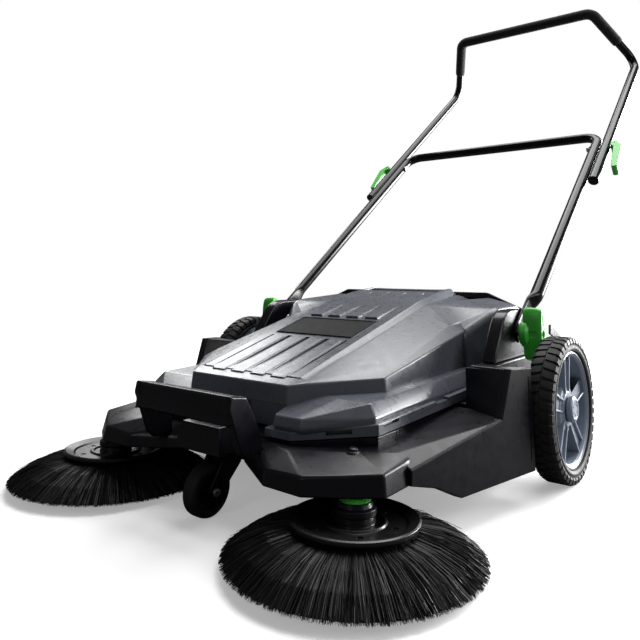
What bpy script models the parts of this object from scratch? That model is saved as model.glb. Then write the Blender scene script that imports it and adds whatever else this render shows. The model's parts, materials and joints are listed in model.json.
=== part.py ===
"""Walk-behind push sweeper, modelled as an assembly of separate parts.

Lengths are in metres.  +Z is up, the floor is z = 0 and the machine is centred on x = 0.
Brushes and caster are at the front (-Y); the push handle rises towards the rear (+Y).
In part names "right" is the +X side and "left" the -X side; `side` is +1 or -1 for them.
Point tables list (x, y, z) unless they say otherwise, and give only the +X half of
paired or one-sided shapes.
"""
import math
from collections import namedtuple

import bpy
import bmesh
from mathutils import Matrix, Vector

for old in list(bpy.data.objects):
    bpy.data.objects.remove(old, do_unlink=True)

# ------------------------------------------------------------------ driving dimensions
Y_SHIFT = -0.3067           # from the working datum to an origin under the middle
GAP = 0.0003                # clearance between pieces that rest on one another
SIDES = ((1, "right"), (-1, "left"))
UP = (0, 0, 1)

# Handle: both legs follow one tilted line, measured by the distance t along it
TUBE_RADIUS = 0.0125
HANDLE_TILT = math.radians(36.6)
LINE_Y, LINE_Z = 0.2511, 0.348      # where t = 0
LOWER_X, UPPER_X = 0.290, 0.3165    # half spacing of the lower and upper legs
PIVOT_T, FOLD_T = -0.20, 0.50       # handle pivot and fold hinge
LEG_TOP_T = -0.0950                 # where the flattened foot has become round tube
CROSS_T = 0.5696                    # cross bar of the lower handle
UPPER_END_T, BEND_T = 0.33, 1.0956  # low end and bend of the upper handle
LOWER_BEND, UPPER_BEND, GRIP_BEND = 0.040, 0.045, 0.034     # bend radii
ARM_ANGLE = math.radians(137.3)     # bent arms of the upper handle, from +Y
ARM_LENGTH = 0.2106
GRIP_X = 0.2258                     # half width of the grip
FOAM_BORE, FOAM_RADIUS = 0.0134, 0.0165
FOAM_START = 0.42                   # fraction of the bent arm left bare
LEVER_X, LEVER_LEAN = 0.3400, 0.18
LEVER_WIDTH = 0.0270
KNOB_IN, KNOB_OUT = 0.2925, 0.3285

# Rear wheels
WHEEL_Y, WHEEL_RADIUS = 0.082, 0.114
WHEEL_IN, WHEEL_OUT = 0.335, 0.379
WHEEL_MID = (WHEEL_OUT + WHEEL_IN) / 2
RIM_RADIUS = 0.0915
HUB_FACE = 0.3680

# Gear drive from the right wheel to the roller
GEAR_MODULE = 0.0025
GEAR_TEETH, PINION_TEETH = 48, 12
GEAR_IN, GEAR_OUT = 0.3245, 0.3350
PRESSURE_ANGLE = math.radians(25)
BACKLASH = 0.00035
ROLLER_Z, ROLLER_RADIUS = 0.052, 0.050
CENTRE_DISTANCE = GEAR_MODULE * (GEAR_TEETH + PINION_TEETH) / 2
ROLLER_Y = WHEEL_Y - math.sqrt(CENTRE_DISTANCE ** 2 - (WHEEL_RADIUS - ROLLER_Z) ** 2)

# Side brushes
BRUSH_X, BRUSH_Y = 0.2424, -0.348
BRUSH_RADIUS = 0.1578               # bristle tips on the floor
BRUSH_TILT = math.radians(2.0)
BRUSH_LIFT = 0.0062                 # height of the bristle plane at the spindle
BRUSH_AXIS = (0.0, math.sin(BRUSH_TILT), math.cos(BRUSH_TILT))

# Caster
SWIVEL_Y = -0.330
CASTER_Y, CASTER_RADIUS = -0.363, 0.035
CASTER_HALF = 0.013

# Chassis and hood
CHASSIS_REAR = 0.2085
WELL_IN, WELL_OUT = 0.2528, 0.2860  # inboard wall of the wheel well
ARCH_IN, ARCH_OUT = 0.1175, 0.1340  # radii of the wheel arch
SCREW_X, SCREW_Y = 0.2189, -0.3172
HOOD_SLOPE = 0.27
LABEL_FRONT, LABEL_REAR = -0.1345, -0.0570

AXLE = (0, WHEEL_Y, WHEEL_RADIUS)
ROLLER = (0, ROLLER_Y, ROLLER_Z)
SWIVEL = (0, SWIVEL_Y, 0)
CASTER = (0, CASTER_Y, CASTER_RADIUS)

# ------------------------------------------------------------------ finishes
Finish = namedtuple("Finish", "label color roughness metallic", defaults=(0.0,))

GREY = Finish("hood_grey", color=(0.130, 0.140, 0.165), roughness=0.38)
BLACK = Finish("chassis_black", color=(0.018, 0.017, 0.021), roughness=0.42)
GREEN = Finish("lime_green", color=(0.060, 0.560, 0.050), roughness=0.35)
RIM_GREY = Finish("rim_grey", color=(0.190, 0.220, 0.270), roughness=0.40)
RUBBER = Finish("tyre_rubber", color=(0.016, 0.016, 0.018), roughness=0.80)
TUBE = Finish("tube_black", color=(0.010, 0.010, 0.011), roughness=0.22)
FOAM = Finish("foam_black", color=(0.014, 0.014, 0.015), roughness=0.92)
BRISTLE = Finish("bristle_black", color=(0.012, 0.012, 0.013), roughness=0.60)
STEEL = Finish("zinc_steel", color=(0.600, 0.610, 0.630), roughness=0.30, metallic=1.0)
LABEL = Finish("label_dark", color=(0.020, 0.021, 0.024), roughness=0.35)
NYLON = Finish("gear_nylon", color=(0.620, 0.610, 0.570), roughness=0.45)


def make_material(name, look):
    material = bpy.data.materials.new(name)
    material.use_nodes = True
    shader = material.node_tree.nodes["Principled BSDF"]
    shader.inputs["Base Color"].default_value = (*look.color, 1.0)
    shader.inputs["Roughness"].default_value = look.roughness
    shader.inputs["Metallic"].default_value = look.metallic
    material.diffuse_color = (*look.color, 1.0)
    return material


# ------------------------------------------------------------------ mesh helpers
def mirrored(point):
    return Vector((-point[0], point[1], point[2]))


def on_side(points, side):
    return [(side * x, y, z) for x, y, z in points]


def face_outward(body):
    bmesh.ops.recalc_face_normals(body, faces=body.faces[:])
    return body


def merge_flats(body):
    bmesh.ops.dissolve_limit(body, angle_limit=math.radians(0.2),
                             verts=body.verts[:], edges=body.edges[:])
    return face_outward(body)


def bridge(body, first, second):
    """Faces between two closed rings; a ring of one vertex gives a fan."""
    count = max(len(first), len(second))
    for k in range(count):
        j = (k + 1) % count
        if len(first) == 1:
            body.faces.new((first[0], second[j], second[k]))
        elif len(second) == 1:
            body.faces.new((first[k], first[j], second[0]))
        else:
            body.faces.new((first[k], first[j], second[j], second[k]))


def hull(points):
    """Convex solid around the points."""
    body = bmesh.new()
    for point in points:
        body.verts.new(point)
    body.verts.ensure_lookup_table()
    bmesh.ops.convex_hull(body, input=body.verts[:])
    loose = [vert for vert in body.verts if not vert.link_faces]
    bmesh.ops.delete(body, geom=loose, context="VERTS")
    return merge_flats(body)


def paired_hull(points):
    """Convex solid around the points and their mirror images across the centre plane."""
    return hull(list(points) + [mirrored(point) for point in points])


def side_hull(side, points):
    return hull(on_side(points, side))


def box(x0, x1, y0, y1, z0, z1):
    return hull([(x, y, z) for x in sorted((x0, x1)) for y in (y0, y1) for z in (z0, z1)])


def prism(outline, sweep):
    """A flat outline swept along a vector."""
    body = bmesh.new()
    near = [body.verts.new(point) for point in outline]
    far = [body.verts.new(Vector(point) + Vector(sweep)) for point in outline]
    body.faces.new(near)
    body.faces.new(far[::-1])
    bridge(body, near, far)
    return face_outward(body)


def yz_prism(outline, x, thickness):
    """An outline of (y, z) points, swept along X from the given x."""
    return prism([(x, y, z) for y, z in outline], (thickness, 0, 0))


def lathe(profile, centre, axis, segs, ring=False, phase=0.0):
    """Turned body: profile of (radius, height along the axis) pairs.

    `ring` closes the profile on itself, and `phase` turns the facets by that part of a step.
    """
    axis = Vector(axis).normalized()
    reference = Vector(UP) if abs(axis.z) < 0.9 else Vector((1, 0, 0))
    cos_dir = (reference - axis * reference.dot(axis)).normalized()
    sin_dir = axis.cross(cos_dir)
    body = bmesh.new()
    rows = []
    for radius, height in profile:
        middle = Vector(centre) + axis * height
        if radius < 1e-7:
            rows.append([body.verts.new(middle)])
            continue
        row = []
        for k in range(segs):
            angle = 2 * math.pi * (k + phase) / segs
            row.append(body.verts.new(middle + cos_dir * (radius * math.cos(angle))
                                      + sin_dir * (radius * math.sin(angle))))
        rows.append(row)
    for first, second in zip(rows[:-1], rows[1:]):
        bridge(body, first, second)
    if ring:
        bridge(body, rows[-1], rows[0])
    else:
        for row in (rows[0], rows[-1]):
            if len(row) > 1:
                body.faces.new(row)
    return face_outward(body)


def rod(centre, axis, radius, span, segs=12):
    """Cylinder between the two distances of `span` along the axis."""
    return lathe([(radius, span[0]), (radius, span[1])], centre, axis, segs)


def outer_radius(flat_radius, segs):
    """Corner radius of a polygon whose flats lie at flat_radius."""
    return flat_radius / math.cos(math.pi / segs)


def fillet(points, radii, steps=4):
    """Polyline with its inner corners rounded by arcs."""
    path = [Vector(points[0])]
    for before, corner, after, radius in zip(points, points[1:], points[2:], radii):
        to_before = (before - corner).normalized()
        to_after = (after - corner).normalized()
        half = to_before.angle(to_after) / 2
        setback = radius / math.tan(half)
        centre = corner + (to_before + to_after).normalized() * (radius / math.sin(half))
        start = corner + to_before * setback - centre
        end = corner + to_after * setback - centre
        turn = start.angle(end)
        axis = start.cross(end).normalized()
        for k in range(steps + 1):
            path.append(centre + Matrix.Rotation(turn * k / steps, 3, axis) @ start)
    path.append(Vector(points[-1]))
    return path


def signed_power(value, exponent):
    return math.copysign(abs(value) ** exponent, value)


def section_rings(body, path, sizes, segs, first_normal):
    """Rings of a swept section, joined by a skin.

    Each size is (half size across, half size along the normal, squareness exponent).
    """
    normal = Vector(first_normal)
    rings = []
    last_tangent = None
    for i, (point, size) in enumerate(zip(path, sizes)):
        if i == 0:
            tangent = (path[1] - path[0]).normalized()
        elif i == len(path) - 1:
            tangent = (path[-1] - path[-2]).normalized()
        else:
            tangent = ((path[i + 1] - point).normalized()
                       + (point - path[i - 1]).normalized()).normalized()
        if last_tangent is not None:
            normal = last_tangent.rotation_difference(tangent) @ normal
        normal = (normal - tangent * normal.dot(tangent)).normalized()
        across = normal.cross(tangent)
        half_across, half_normal, exponent = size
        ring = []
        for k in range(segs):
            angle = 2 * math.pi * (k + 0.5) / segs
            cosine = signed_power(math.cos(angle), exponent)
            sine = signed_power(math.sin(angle), exponent)
            ring.append(body.verts.new(point + across * (half_across * cosine)
                                       + normal * (half_normal * sine)))
        rings.append(ring)
        last_tangent = tangent
    for first, second in zip(rings[:-1], rings[1:]):
        bridge(body, first, second)
    return rings


def swept(path, sizes, segs, first_normal):
    """Solid bar along a path."""
    body = bmesh.new()
    rings = section_rings(body, path, sizes, segs, first_normal)
    body.faces.new(rings[0][::-1])
    body.faces.new(rings[-1])
    return face_outward(body)


def round_sizes(radius, path):
    return [(radius, radius, 1.0)] * len(path)


def sleeve(path, bore, radius, segs, first_normal):
    """Round tube with a bore along a path."""
    body = bmesh.new()
    outer = section_rings(body, path, round_sizes(radius, path), segs, first_normal)
    inner = section_rings(body, path, round_sizes(bore, path), segs, first_normal)
    for end in (0, -1):
        bridge(body, outer[end], inner[end])
    return face_outward(body)


def scratch_object(body, name):
    mesh = bpy.data.meshes.new(name)
    body.to_mesh(mesh)
    body.free()
    helper = bpy.data.objects.new(name, mesh)
    bpy.context.scene.collection.objects.link(helper)
    helper.hide_render = True
    return helper


def combine(base, adds=(), cuts=()):
    """Exact boolean unions, then differences, returned as one bmesh."""
    blank = scratch_object(base, "blank")
    tools = []
    for operation, group in (("UNION", adds), ("DIFFERENCE", cuts)):
        for body in group:
            tool = scratch_object(body, "cutter")
            tools.append(tool)
            modifier = blank.modifiers.new("bool", "BOOLEAN")
            modifier.operation = operation
            modifier.solver = "EXACT"
            modifier.object = tool
    bpy.context.view_layer.update()
    depsgraph = bpy.context.evaluated_depsgraph_get()
    mesh = bpy.data.meshes.new_from_object(blank.evaluated_get(depsgraph))
    result = bmesh.new()
    result.from_mesh(mesh)
    bpy.data.meshes.remove(mesh)
    for helper in tools + [blank]:
        bpy.data.objects.remove(helper, do_unlink=True)
    return merge_flats(result)


# ------------------------------------------------------------------ parts and joint axes
AXES = {}       # name: (empty, its position in the shifted frame)


def add_axis(name, place, parent=None):
    """Empty on a joint axis, under its parent axis."""
    empty = bpy.data.objects.new("axis_" + name, None)
    empty.empty_display_size = 0.03
    bpy.context.scene.collection.objects.link(empty)
    world = Vector(place) + Vector((0, Y_SHIFT, 0))
    AXES[name] = (empty, world)
    if parent:
        empty.parent = AXES[parent][0]
        empty.location = world - AXES[parent][1]
    else:
        empty.location = world


def add_part(name, body, look, carrier=None, smooth=False):
    """A named part, under the empty of the moving assembly that carries it."""
    mesh = bpy.data.meshes.new(name)
    bmesh.ops.translate(body, verts=body.verts[:], vec=Vector((0, Y_SHIFT, 0)))
    origin = AXES[carrier][1] if carrier else Vector((0, 0, 0))
    bmesh.ops.translate(body, verts=body.verts[:], vec=-origin)
    body.to_mesh(mesh)
    body.free()
    obj = bpy.data.objects.new(name, mesh)
    bpy.context.scene.collection.objects.link(obj)
    mesh.materials.append(make_material(name + "_" + look.label, look))
    if carrier:
        obj.parent = AXES[carrier][0]
    if smooth:
        mesh.shade_smooth()
        mesh.set_sharp_from_angle(angle=math.radians(35))


def along(t, x):
    """Point on the handle line at distance t, at width x."""
    return Vector((x, LINE_Y + t * math.cos(HANDLE_TILT), LINE_Z + t * math.sin(HANDLE_TILT)))


HANDLE_DIR = Vector((0, math.cos(HANDLE_TILT), math.sin(HANDLE_TILT)))
HANDLE_NORMAL = Vector((0, -math.sin(HANDLE_TILT), math.cos(HANDLE_TILT)))
PIVOT = along(PIVOT_T, 0)
FOLD = along(FOLD_T, 0)


def brush_centre(side):
    return (side * BRUSH_X, BRUSH_Y, BRUSH_LIFT)


def screw_centre(side):
    return (side * SCREW_X, SCREW_Y, 0)


def lever_centre(side):
    return Vector((side * LEVER_X, FOLD.y, FOLD.z))


def add_axes():
    add_axis("debris_bin", (0, -0.30, 0.130))
    add_axis("bin_latch", (0, -0.3155, 0.1480), "debris_bin")
    add_axis("lower_handle", PIVOT)
    add_axis("upper_handle", FOLD, "lower_handle")
    add_axis("roller", ROLLER)
    add_axis("caster_fork", (0, SWIVEL_Y, 0.080))
    add_axis("caster_wheel", CASTER, "caster_fork")
    for side, tag in SIDES:
        add_axis("knob_" + tag, (side * KNOB_IN, PIVOT.y, PIVOT.z))
        add_axis("cam_lever_" + tag, lever_centre(side), "upper_handle")
        add_axis("wheel_" + tag, (side * WHEEL_MID, WHEEL_Y, WHEEL_RADIUS))
        add_axis("side_brush_" + tag, brush_centre(side))


# ------------------------------------------------------------------ chassis
# (y, z) outline of an arm of the front carry handle, and its inner x and thickness
CARRY_ARM = [(-0.4170, 0.1790), (-0.3885, 0.1745), (-0.3765, 0.1547), (-0.3560, 0.1144),
             (-0.3560, 0.1000), (-0.3850, 0.0945), (-0.3960, 0.1040), (-0.4200, 0.1630)]
CARRY_ARM_IN, CARRY_ARM_THICK = 0.0868, 0.0132


def carry_arm(side, grow=0.0):
    """Arm of the carry handle; `grow` enlarges it to cut its socket."""
    mid_y = sum(y for y, z in CARRY_ARM) / len(CARRY_ARM)
    mid_z = sum(z for y, z in CARRY_ARM) / len(CARRY_ARM)
    outline = []
    for y, z in CARRY_ARM:
        offset = Vector((y - mid_y, z - mid_z))
        offset = offset * (1 + grow / offset.length)
        outline.append((mid_y + offset.x, mid_z + offset.y))
    return yz_prism(outline, side * (CARRY_ARM_IN - grow), side * (CARRY_ARM_THICK + 2 * grow))


def skirt_x(y):
    """Outer face of the side skirt, which flares towards the rear."""
    return 0.290 + 0.2420 * (y + 0.292)


def front_deck():
    return paired_hull([
        (0.131, -0.336, 0.1125), (0.2345, -0.283, 0.1235), (0.2360, -0.215, 0.1245),
        (0.131, -0.336, 0.0850), (0.2345, -0.283, 0.0850), (0.2360, -0.215, 0.0850)])


def main_deck():
    return paired_hull([
        (0.2360, -0.240, 0.1242), (0.2386, 0.040, 0.1322), (0.2386, CHASSIS_REAR, 0.1322),
        (0.2360, -0.240, 0.0600), (0.2386, 0.040, 0.0560), (0.2386, CHASSIS_REAR, 0.0560)])


def carry_block():
    """Block between the arms of the carry handle."""
    return paired_hull([(0.038, -0.3800, 0.1250), (0.047, -0.3860, 0.0895),
                        (0.047, -0.3220, 0.0895), (0.038, -0.3220, 0.1250)])


def pod(side):
    """Front pod over the side brush."""
    return side_hull(side, [
        (0.0494, -0.3428, 0.0750), (0.1389, -0.3985, 0.0750), (0.2012, -0.4005, 0.0750),
        (0.2424, -0.3758, 0.0750), (0.2851, -0.3437, 0.0750), (0.2852, -0.2895, 0.0750),
        (0.2852, -0.2200, 0.0750), (0.0500, -0.2200, 0.0860),
        (0.0530, -0.3405, 0.0900), (0.1405, -0.3950, 0.0940), (0.1990, -0.3965, 0.0970),
        (0.2385, -0.3720, 0.0990), (0.2805, -0.3410, 0.1010), (0.2820, -0.2920, 0.1045),
        (0.2650, -0.2350, 0.1150), (0.2500, -0.3050, 0.1120), (0.1500, -0.3620, 0.1110),
        (0.0700, -0.3330, 0.1100), (0.2400, -0.2200, 0.1150), (0.0500, -0.2200, 0.1105)])


def pod_hollow(side):
    return side_hull(side, [
        (0.0700, -0.3430, 0.0700), (0.1420, -0.3900, 0.0700), (0.1990, -0.3915, 0.0700),
        (0.2385, -0.3690, 0.0700), (0.2790, -0.3390, 0.0700), (0.2790, -0.3000, 0.0700),
        (0.0700, -0.3000, 0.0700),
        (0.0740, -0.3400, 0.0850), (0.1430, -0.3860, 0.0880), (0.1970, -0.3875, 0.0900),
        (0.2360, -0.3650, 0.0920), (0.2740, -0.3370, 0.0940), (0.2740, -0.3040, 0.0960),
        (0.0740, -0.3040, 0.0880)])


def screw_seat(side):
    profile = [(0.0, 0.1000), (0.0125, 0.1000), (0.0118, 0.1105), (0.0090, 0.1130),
               (0.0, 0.1130)]
    return lathe(profile, screw_centre(side), UP, 20)


def side_deck(side):
    """Side deck and its sloping ledge."""
    return side_hull(side, [
        (0.2400, -0.2900, 0.1080), (0.2620, -0.2900, 0.1100), (0.2900, -0.2920, 0.0950),
        (0.2900, -0.2920, 0.0767), (0.2400, -0.2900, 0.0767),
        (0.2650, -0.2350, 0.1155), (0.2300, -0.2350, 0.1160),
        (0.2990, -0.0720, 0.1290), (0.2300, -0.0720, 0.1270), (skirt_x(-0.112), -0.1120, 0.1270),
        (skirt_x(-0.201) - 0.003, -0.2010, 0.0520), (skirt_x(-0.080) - 0.002, -0.0800, 0.0500),
        (0.2300, -0.0800, 0.0500), (0.2300, -0.2010, 0.0520)])


def side_skirt(side):
    # (y, z)
    outline = [(-0.2920, 0.0950), (-0.1120, 0.1270), (-0.0870, 0.1945), (-0.0370, 0.1915),
               (-0.0370, 0.0445), (-0.2010, 0.0430), (-0.2490, 0.0660), (-0.2925, 0.0767)]
    return prism([(side * skirt_x(y), y, z) for y, z in outline], (-side * 0.0120, 0, 0))


def mudguard(side):
    """Block ahead of the wheel; its outer points lie just inside the skirt face."""
    inset = 0.0005
    return side_hull(side, [
        (0.2550, -0.0450, 0.1880), (0.3000, -0.0700, 0.1290),
        (skirt_x(-0.112) - inset, -0.1120, 0.1268), (skirt_x(-0.087) - inset, -0.0870, 0.1940),
        (skirt_x(-0.0375) - inset, -0.0375, 0.1910), (skirt_x(-0.0375) - inset, -0.0375, 0.0480),
        (0.3250, -0.1100, 0.0480), (0.2550, -0.0375, 0.1885), (0.2550, -0.0375, 0.0480),
        (0.2550, -0.1000, 0.0480)])


def wheel_arc(radius, start, end):
    """(y, z) points of an arc about the axle, between angles in degrees from +Y."""
    angles = [math.radians(start + (end - start) * k / 12) for k in range(13)]
    return [(WHEEL_Y + radius * math.cos(angle), WHEEL_RADIUS + radius * math.sin(angle))
            for angle in angles]


def wheel_arch(side):
    """Slim arch over the upper rear of the wheel, beside the inner face of the tyre."""
    outline = wheel_arc(ARCH_OUT, 76, 12) + wheel_arc(ARCH_IN, 12, 76)
    return yz_prism(outline, side * 0.3297, side * 0.0046)


def arch_stay(side):
    """Stay that joins the arch to the chassis behind the wheel."""
    return box(side * 0.2800, side * 0.3343, 0.2010, CHASSIS_REAR, 0.1000, 0.1500)


def well_wall(side):
    """Lower inboard wall of the wheel well, bored for the axle and the roller bearing."""
    return box(side * 0.2262, side * WELL_OUT, -0.0600, CHASSIS_REAR, 0.0380, 0.1310)


def well_top(side):
    """Upper part of the well wall, under the tower."""
    outline = ((-0.0600, 0.1200), (-0.0600, 0.1860), (0.1500, 0.1860),
               (0.2080, 0.1300), (0.2080, 0.1200))
    return side_hull(side, [(x, y, z) for y, z in outline for x in (WELL_IN, WELL_OUT)])


def chassis_holes(side):
    """Cuts of one side of the chassis."""
    outward = (side, 0, 0)
    return [
        pod_hollow(side),
        # pocket of the brush gearbox
        rod(brush_centre(side), BRUSH_AXIS, radius=0.0135, span=(0.0640, 0.0925), segs=20),
        # axle, roller bearing and pod screw
        rod(AXLE, outward, radius=0.0084, span=(0.21, 0.30), segs=16),
        rod(ROLLER, outward, radius=0.0105, span=(0.21, 0.30), segs=16),
        rod(screw_centre(side), UP, radius=0.0034, span=(0.105, 0.130), segs=10),
        # socket of the carry handle
        carry_arm(side, grow=0.0004)]


def add_chassis():
    adds = [main_deck(), carry_block()]
    cuts = []
    for side, _ in SIDES:
        for piece in (pod, screw_seat, side_deck, side_skirt, mudguard, wheel_arch,
                      arch_stay, well_wall, well_top):
            adds.append(piece(side))
        cuts += chassis_holes(side)
    # rear beam behind the roller
    adds.append(box(-WELL_OUT, WELL_OUT, 0.1181, CHASSIS_REAR, 0.0450, 0.1308))
    # opening for the debris tray and the roller, then the caster stem hole
    cuts.append(box(-0.2250, 0.2250, -0.2050, 0.1180, 0.0100, 0.2000))
    cuts.append(rod(SWIVEL, UP, radius=0.0064, span=(0.060, 0.107), segs=14))
    add_part("chassis_shell", combine(front_deck(), adds, cuts), BLACK)


def add_carry_handle():
    bar = paired_hull([(0.0990, -0.4165, 0.1788), (0.0990, -0.3888, 0.1743),
                       (0.0990, -0.4192, 0.1410), (0.0990, -0.3980, 0.1400)])
    add_part("front_carry_handle", combine(bar, [carry_arm(1), carry_arm(-1)]), BLACK)


# (y, z) outline of the tower that carries the handle pivot
TOWER = [(-0.0050, 0.1864), (0.0040, 0.2063), (0.0250, 0.2350), (0.0350, 0.2490),
         (0.0450, 0.2590), (0.0580, 0.2655), (0.0760, 0.2688), (0.1180, 0.2688),
         (0.1360, 0.2650), (0.1480, 0.2560), (0.1550, 0.2430), (0.1560, 0.2250),
         (0.1480, 0.1864)]


def add_tower(side, tag):
    tower = yz_prism(TOWER, side * 0.2553, side * 0.0238)
    hole = rod(PIVOT, (side, 0, 0), radius=0.0044, span=(0.24, 0.29))
    add_part("tower_" + tag, combine(tower, cuts=[hole]), BLACK)


def add_pivot_bolt(side, tag):
    """Bolt that clamps the leg and carries the knob."""
    profile = [(0.0, 0.2512), (0.0070, 0.2515), (0.0085, 0.2549), (0.0040, 0.2549),
               (0.0040, 0.3120), (0.0, 0.3125)]
    add_part("pivot_bolt_" + tag, lathe(profile, PIVOT, (side, 0, 0), 12), STEEL, smooth=True)


def add_axle(side, tag):
    """Stub axle with a flange against the well wall."""
    flange = WELL_OUT + GAP
    profile = [(0.0, 0.2290), (0.0080, 0.2290), (0.0080, flange), (0.0135, flange),
               (0.0135, 0.2900), (0.0080, 0.2900), (0.0080, 0.3640), (0.0070, 0.3655),
               (0.0, 0.3655)]
    add_part("axle_" + tag, lathe(profile, AXLE, (side, 0, 0), 16), STEEL, smooth=True)


def add_roller_bearing(side, tag):
    flange = WELL_OUT + GAP
    profile = [(0.0066, 0.2640), (0.0101, 0.2640), (0.0101, flange), (0.0140, flange),
               (0.0140, 0.2885), (0.0066, 0.2885)]
    bearing = lathe(profile, ROLLER, (side, 0, 0), 16, ring=True)
    add_part("roller_bearing_" + tag, bearing, NYLON, smooth=True)


def add_brush_gearbox(side, tag):
    profile = [(0.0, 0.0775), (0.0120, 0.0775), (0.0128, 0.0785), (0.0128, 0.0905),
               (0.0115, 0.0918), (0.0, 0.0918)]
    case = lathe(profile, brush_centre(side), BRUSH_AXIS, 16)
    bore = rod(brush_centre(side), BRUSH_AXIS, radius=0.0092, span=(0.070, 0.089), segs=16)
    add_part("brush_gearbox_" + tag, combine(case, cuts=[bore]), NYLON, smooth=True)


def add_pod_screw(side, tag):
    profile = [(0.0, 0.1080), (0.0030, 0.1080), (0.0030, 0.1133), (0.0068, 0.1133),
               (0.0064, 0.1151), (0.0040, 0.1163), (0.0, 0.1166)]
    add_part("pod_screw_" + tag, lathe(profile, screw_centre(side), UP, 10), STEEL, smooth=True)


def add_rear_cover():
    shell = paired_hull([
        (0.2500, 0.2092, 0.0460), (0.2500, 0.2092, 0.1300), (0.2500, 0.2092, 0.2400),
        (0.2480, 0.2092, 0.2640), (0.2180, 0.2092, 0.2750), (0.1760, 0.2092, 0.2930),
        (0.2420, 0.2400, 0.0560), (0.2440, 0.2440, 0.1300), (0.2400, 0.2400, 0.2320),
        (0.2360, 0.2370, 0.2600), (0.2120, 0.2350, 0.2700), (0.1720, 0.2320, 0.2890)])
    hollow = paired_hull([
        (0.2380, 0.2000, 0.1370), (0.2380, 0.2000, 0.2300), (0.2120, 0.2000, 0.2640),
        (0.1700, 0.2000, 0.2830), (0.2340, 0.2360, 0.1370), (0.2300, 0.2330, 0.2300),
        (0.2050, 0.2310, 0.2620), (0.1650, 0.2280, 0.2800)])
    add_part("rear_cover", combine(shell, cuts=[hollow]), BLACK)


def add_seal_flap():
    add_part("seal_flap", box(-0.2200, 0.2200, 0.1148, 0.1178, 0.0040, 0.0780), RUBBER)


# ------------------------------------------------------------------ debris bin and grey hood
def panel_z(y):
    """Height of the raised centre panel of the hood."""
    return 0.2260 + HOOD_SLOPE * (y - LABEL_FRONT)


def hood_lip():
    return paired_hull([
        (0.2375, -0.2860, 0.1255), (0.2425, 0.0400, 0.1340), (0.2425, 0.2070, 0.1384),
        (0.2375, -0.2860, 0.1400), (0.2425, 0.0400, 0.1490), (0.2425, 0.2070, 0.1490)])


def hood_nose():
    return paired_hull([(0.1330, -0.3400, 0.1145), (0.2375, -0.2850, 0.1255),
                        (0.1330, -0.3400, 0.1250), (0.2375, -0.2850, 0.1400)])


def hood_flange():
    return paired_hull([
        (0.1480, -0.3395, 0.1310), (0.2315, -0.2840, 0.1460), (0.2325, 0.0300, 0.1500),
        (0.2325, 0.2070, 0.1500), (0.1480, -0.3350, 0.1435), (0.2180, -0.2750, 0.1625),
        (0.2200, 0.0270, 0.1713), (0.2200, 0.2070, 0.1713),
        (0.1480, -0.3350, 0.1240), (0.2300, -0.2840, 0.1360), (0.2320, 0.2070, 0.1420)])


def hood_main():
    return paired_hull([
        (0.1005, -0.3110, 0.1775), (0.1955, -0.2050, 0.1830), (0.2050, 0.0300, 0.2290),
        (0.2050, 0.2070, 0.2550), (0.1750, -0.1900, 0.1960), (0.1850, 0.0200, 0.2420),
        (0.1160, -0.2880, 0.1810), (0.1160, 0.0700, 0.2720), (0.1160, 0.2070, 0.2860),
        (0.1020, -0.3140, 0.1400), (0.2010, -0.2070, 0.1550), (0.2070, 0.0350, 0.1550),
        (0.2070, 0.2070, 0.1550)])


def hood_panel():
    """Raised centre panel."""
    return paired_hull([
        (0.1020, -0.2860, panel_z(-0.286)), (0.1020, 0.0700, panel_z(0.07)),
        (0.1000, 0.1450, 0.2930), (0.0970, 0.2070, 0.2985),
        (0.1150, -0.2800, 0.1800), (0.1150, 0.0740, 0.2700), (0.1120, 0.1450, 0.2780),
        (0.1100, 0.2070, 0.2850), (0.1000, -0.2860, 0.1700), (0.1000, 0.2070, 0.2600)])


def hood_shoulder(side):
    """Wide rear shoulder."""
    return side_hull(side, [
        (0.1070, 0.1230, 0.2750), (0.2050, 0.0300, 0.2285), (0.2050, 0.0350, 0.1500),
        (0.1840, 0.1550, 0.2800), (0.2456, 0.0960, 0.2690), (0.2500, 0.0500, 0.1500),
        (0.1840, 0.2070, 0.2830), (0.2456, 0.2070, 0.2690), (0.2500, 0.2070, 0.1500),
        (0.1070, 0.2070, 0.2750), (0.1900, 0.2070, 0.1500)])


def hood_ribs():
    """Four ribs ahead of the label and four behind it."""
    pitch, foot_half, crest_half, sunk = 0.042, 0.0155, 0.0130, 0.004
    flat_y, flat_slope = 0.07, 0.12     # behind flat_y the ribs follow a gentler slope
    # ends of each rib: (front y, rear y, front height, rear height)
    spans = ((-0.290, -0.1450, 0.0005, 0.0060), (-0.0450, 0.1280, 0.0040, 0.0040))
    ribs = []
    for k in range(4):
        mid_x = pitch * (k - 1.5)
        for front, rear, front_height, rear_height in spans:
            points = []
            for y, height in ((front, front_height), (rear, rear_height)):
                z = panel_z(min(y, flat_y)) + flat_slope * max(0.0, y - flat_y)
                points += [(mid_x - foot_half, y, z - sunk), (mid_x + foot_half, y, z - sunk),
                           (mid_x - crest_half, y, z + height),
                           (mid_x + crest_half, y, z + height)]
            ribs.append(hull(points))
    return ribs


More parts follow.
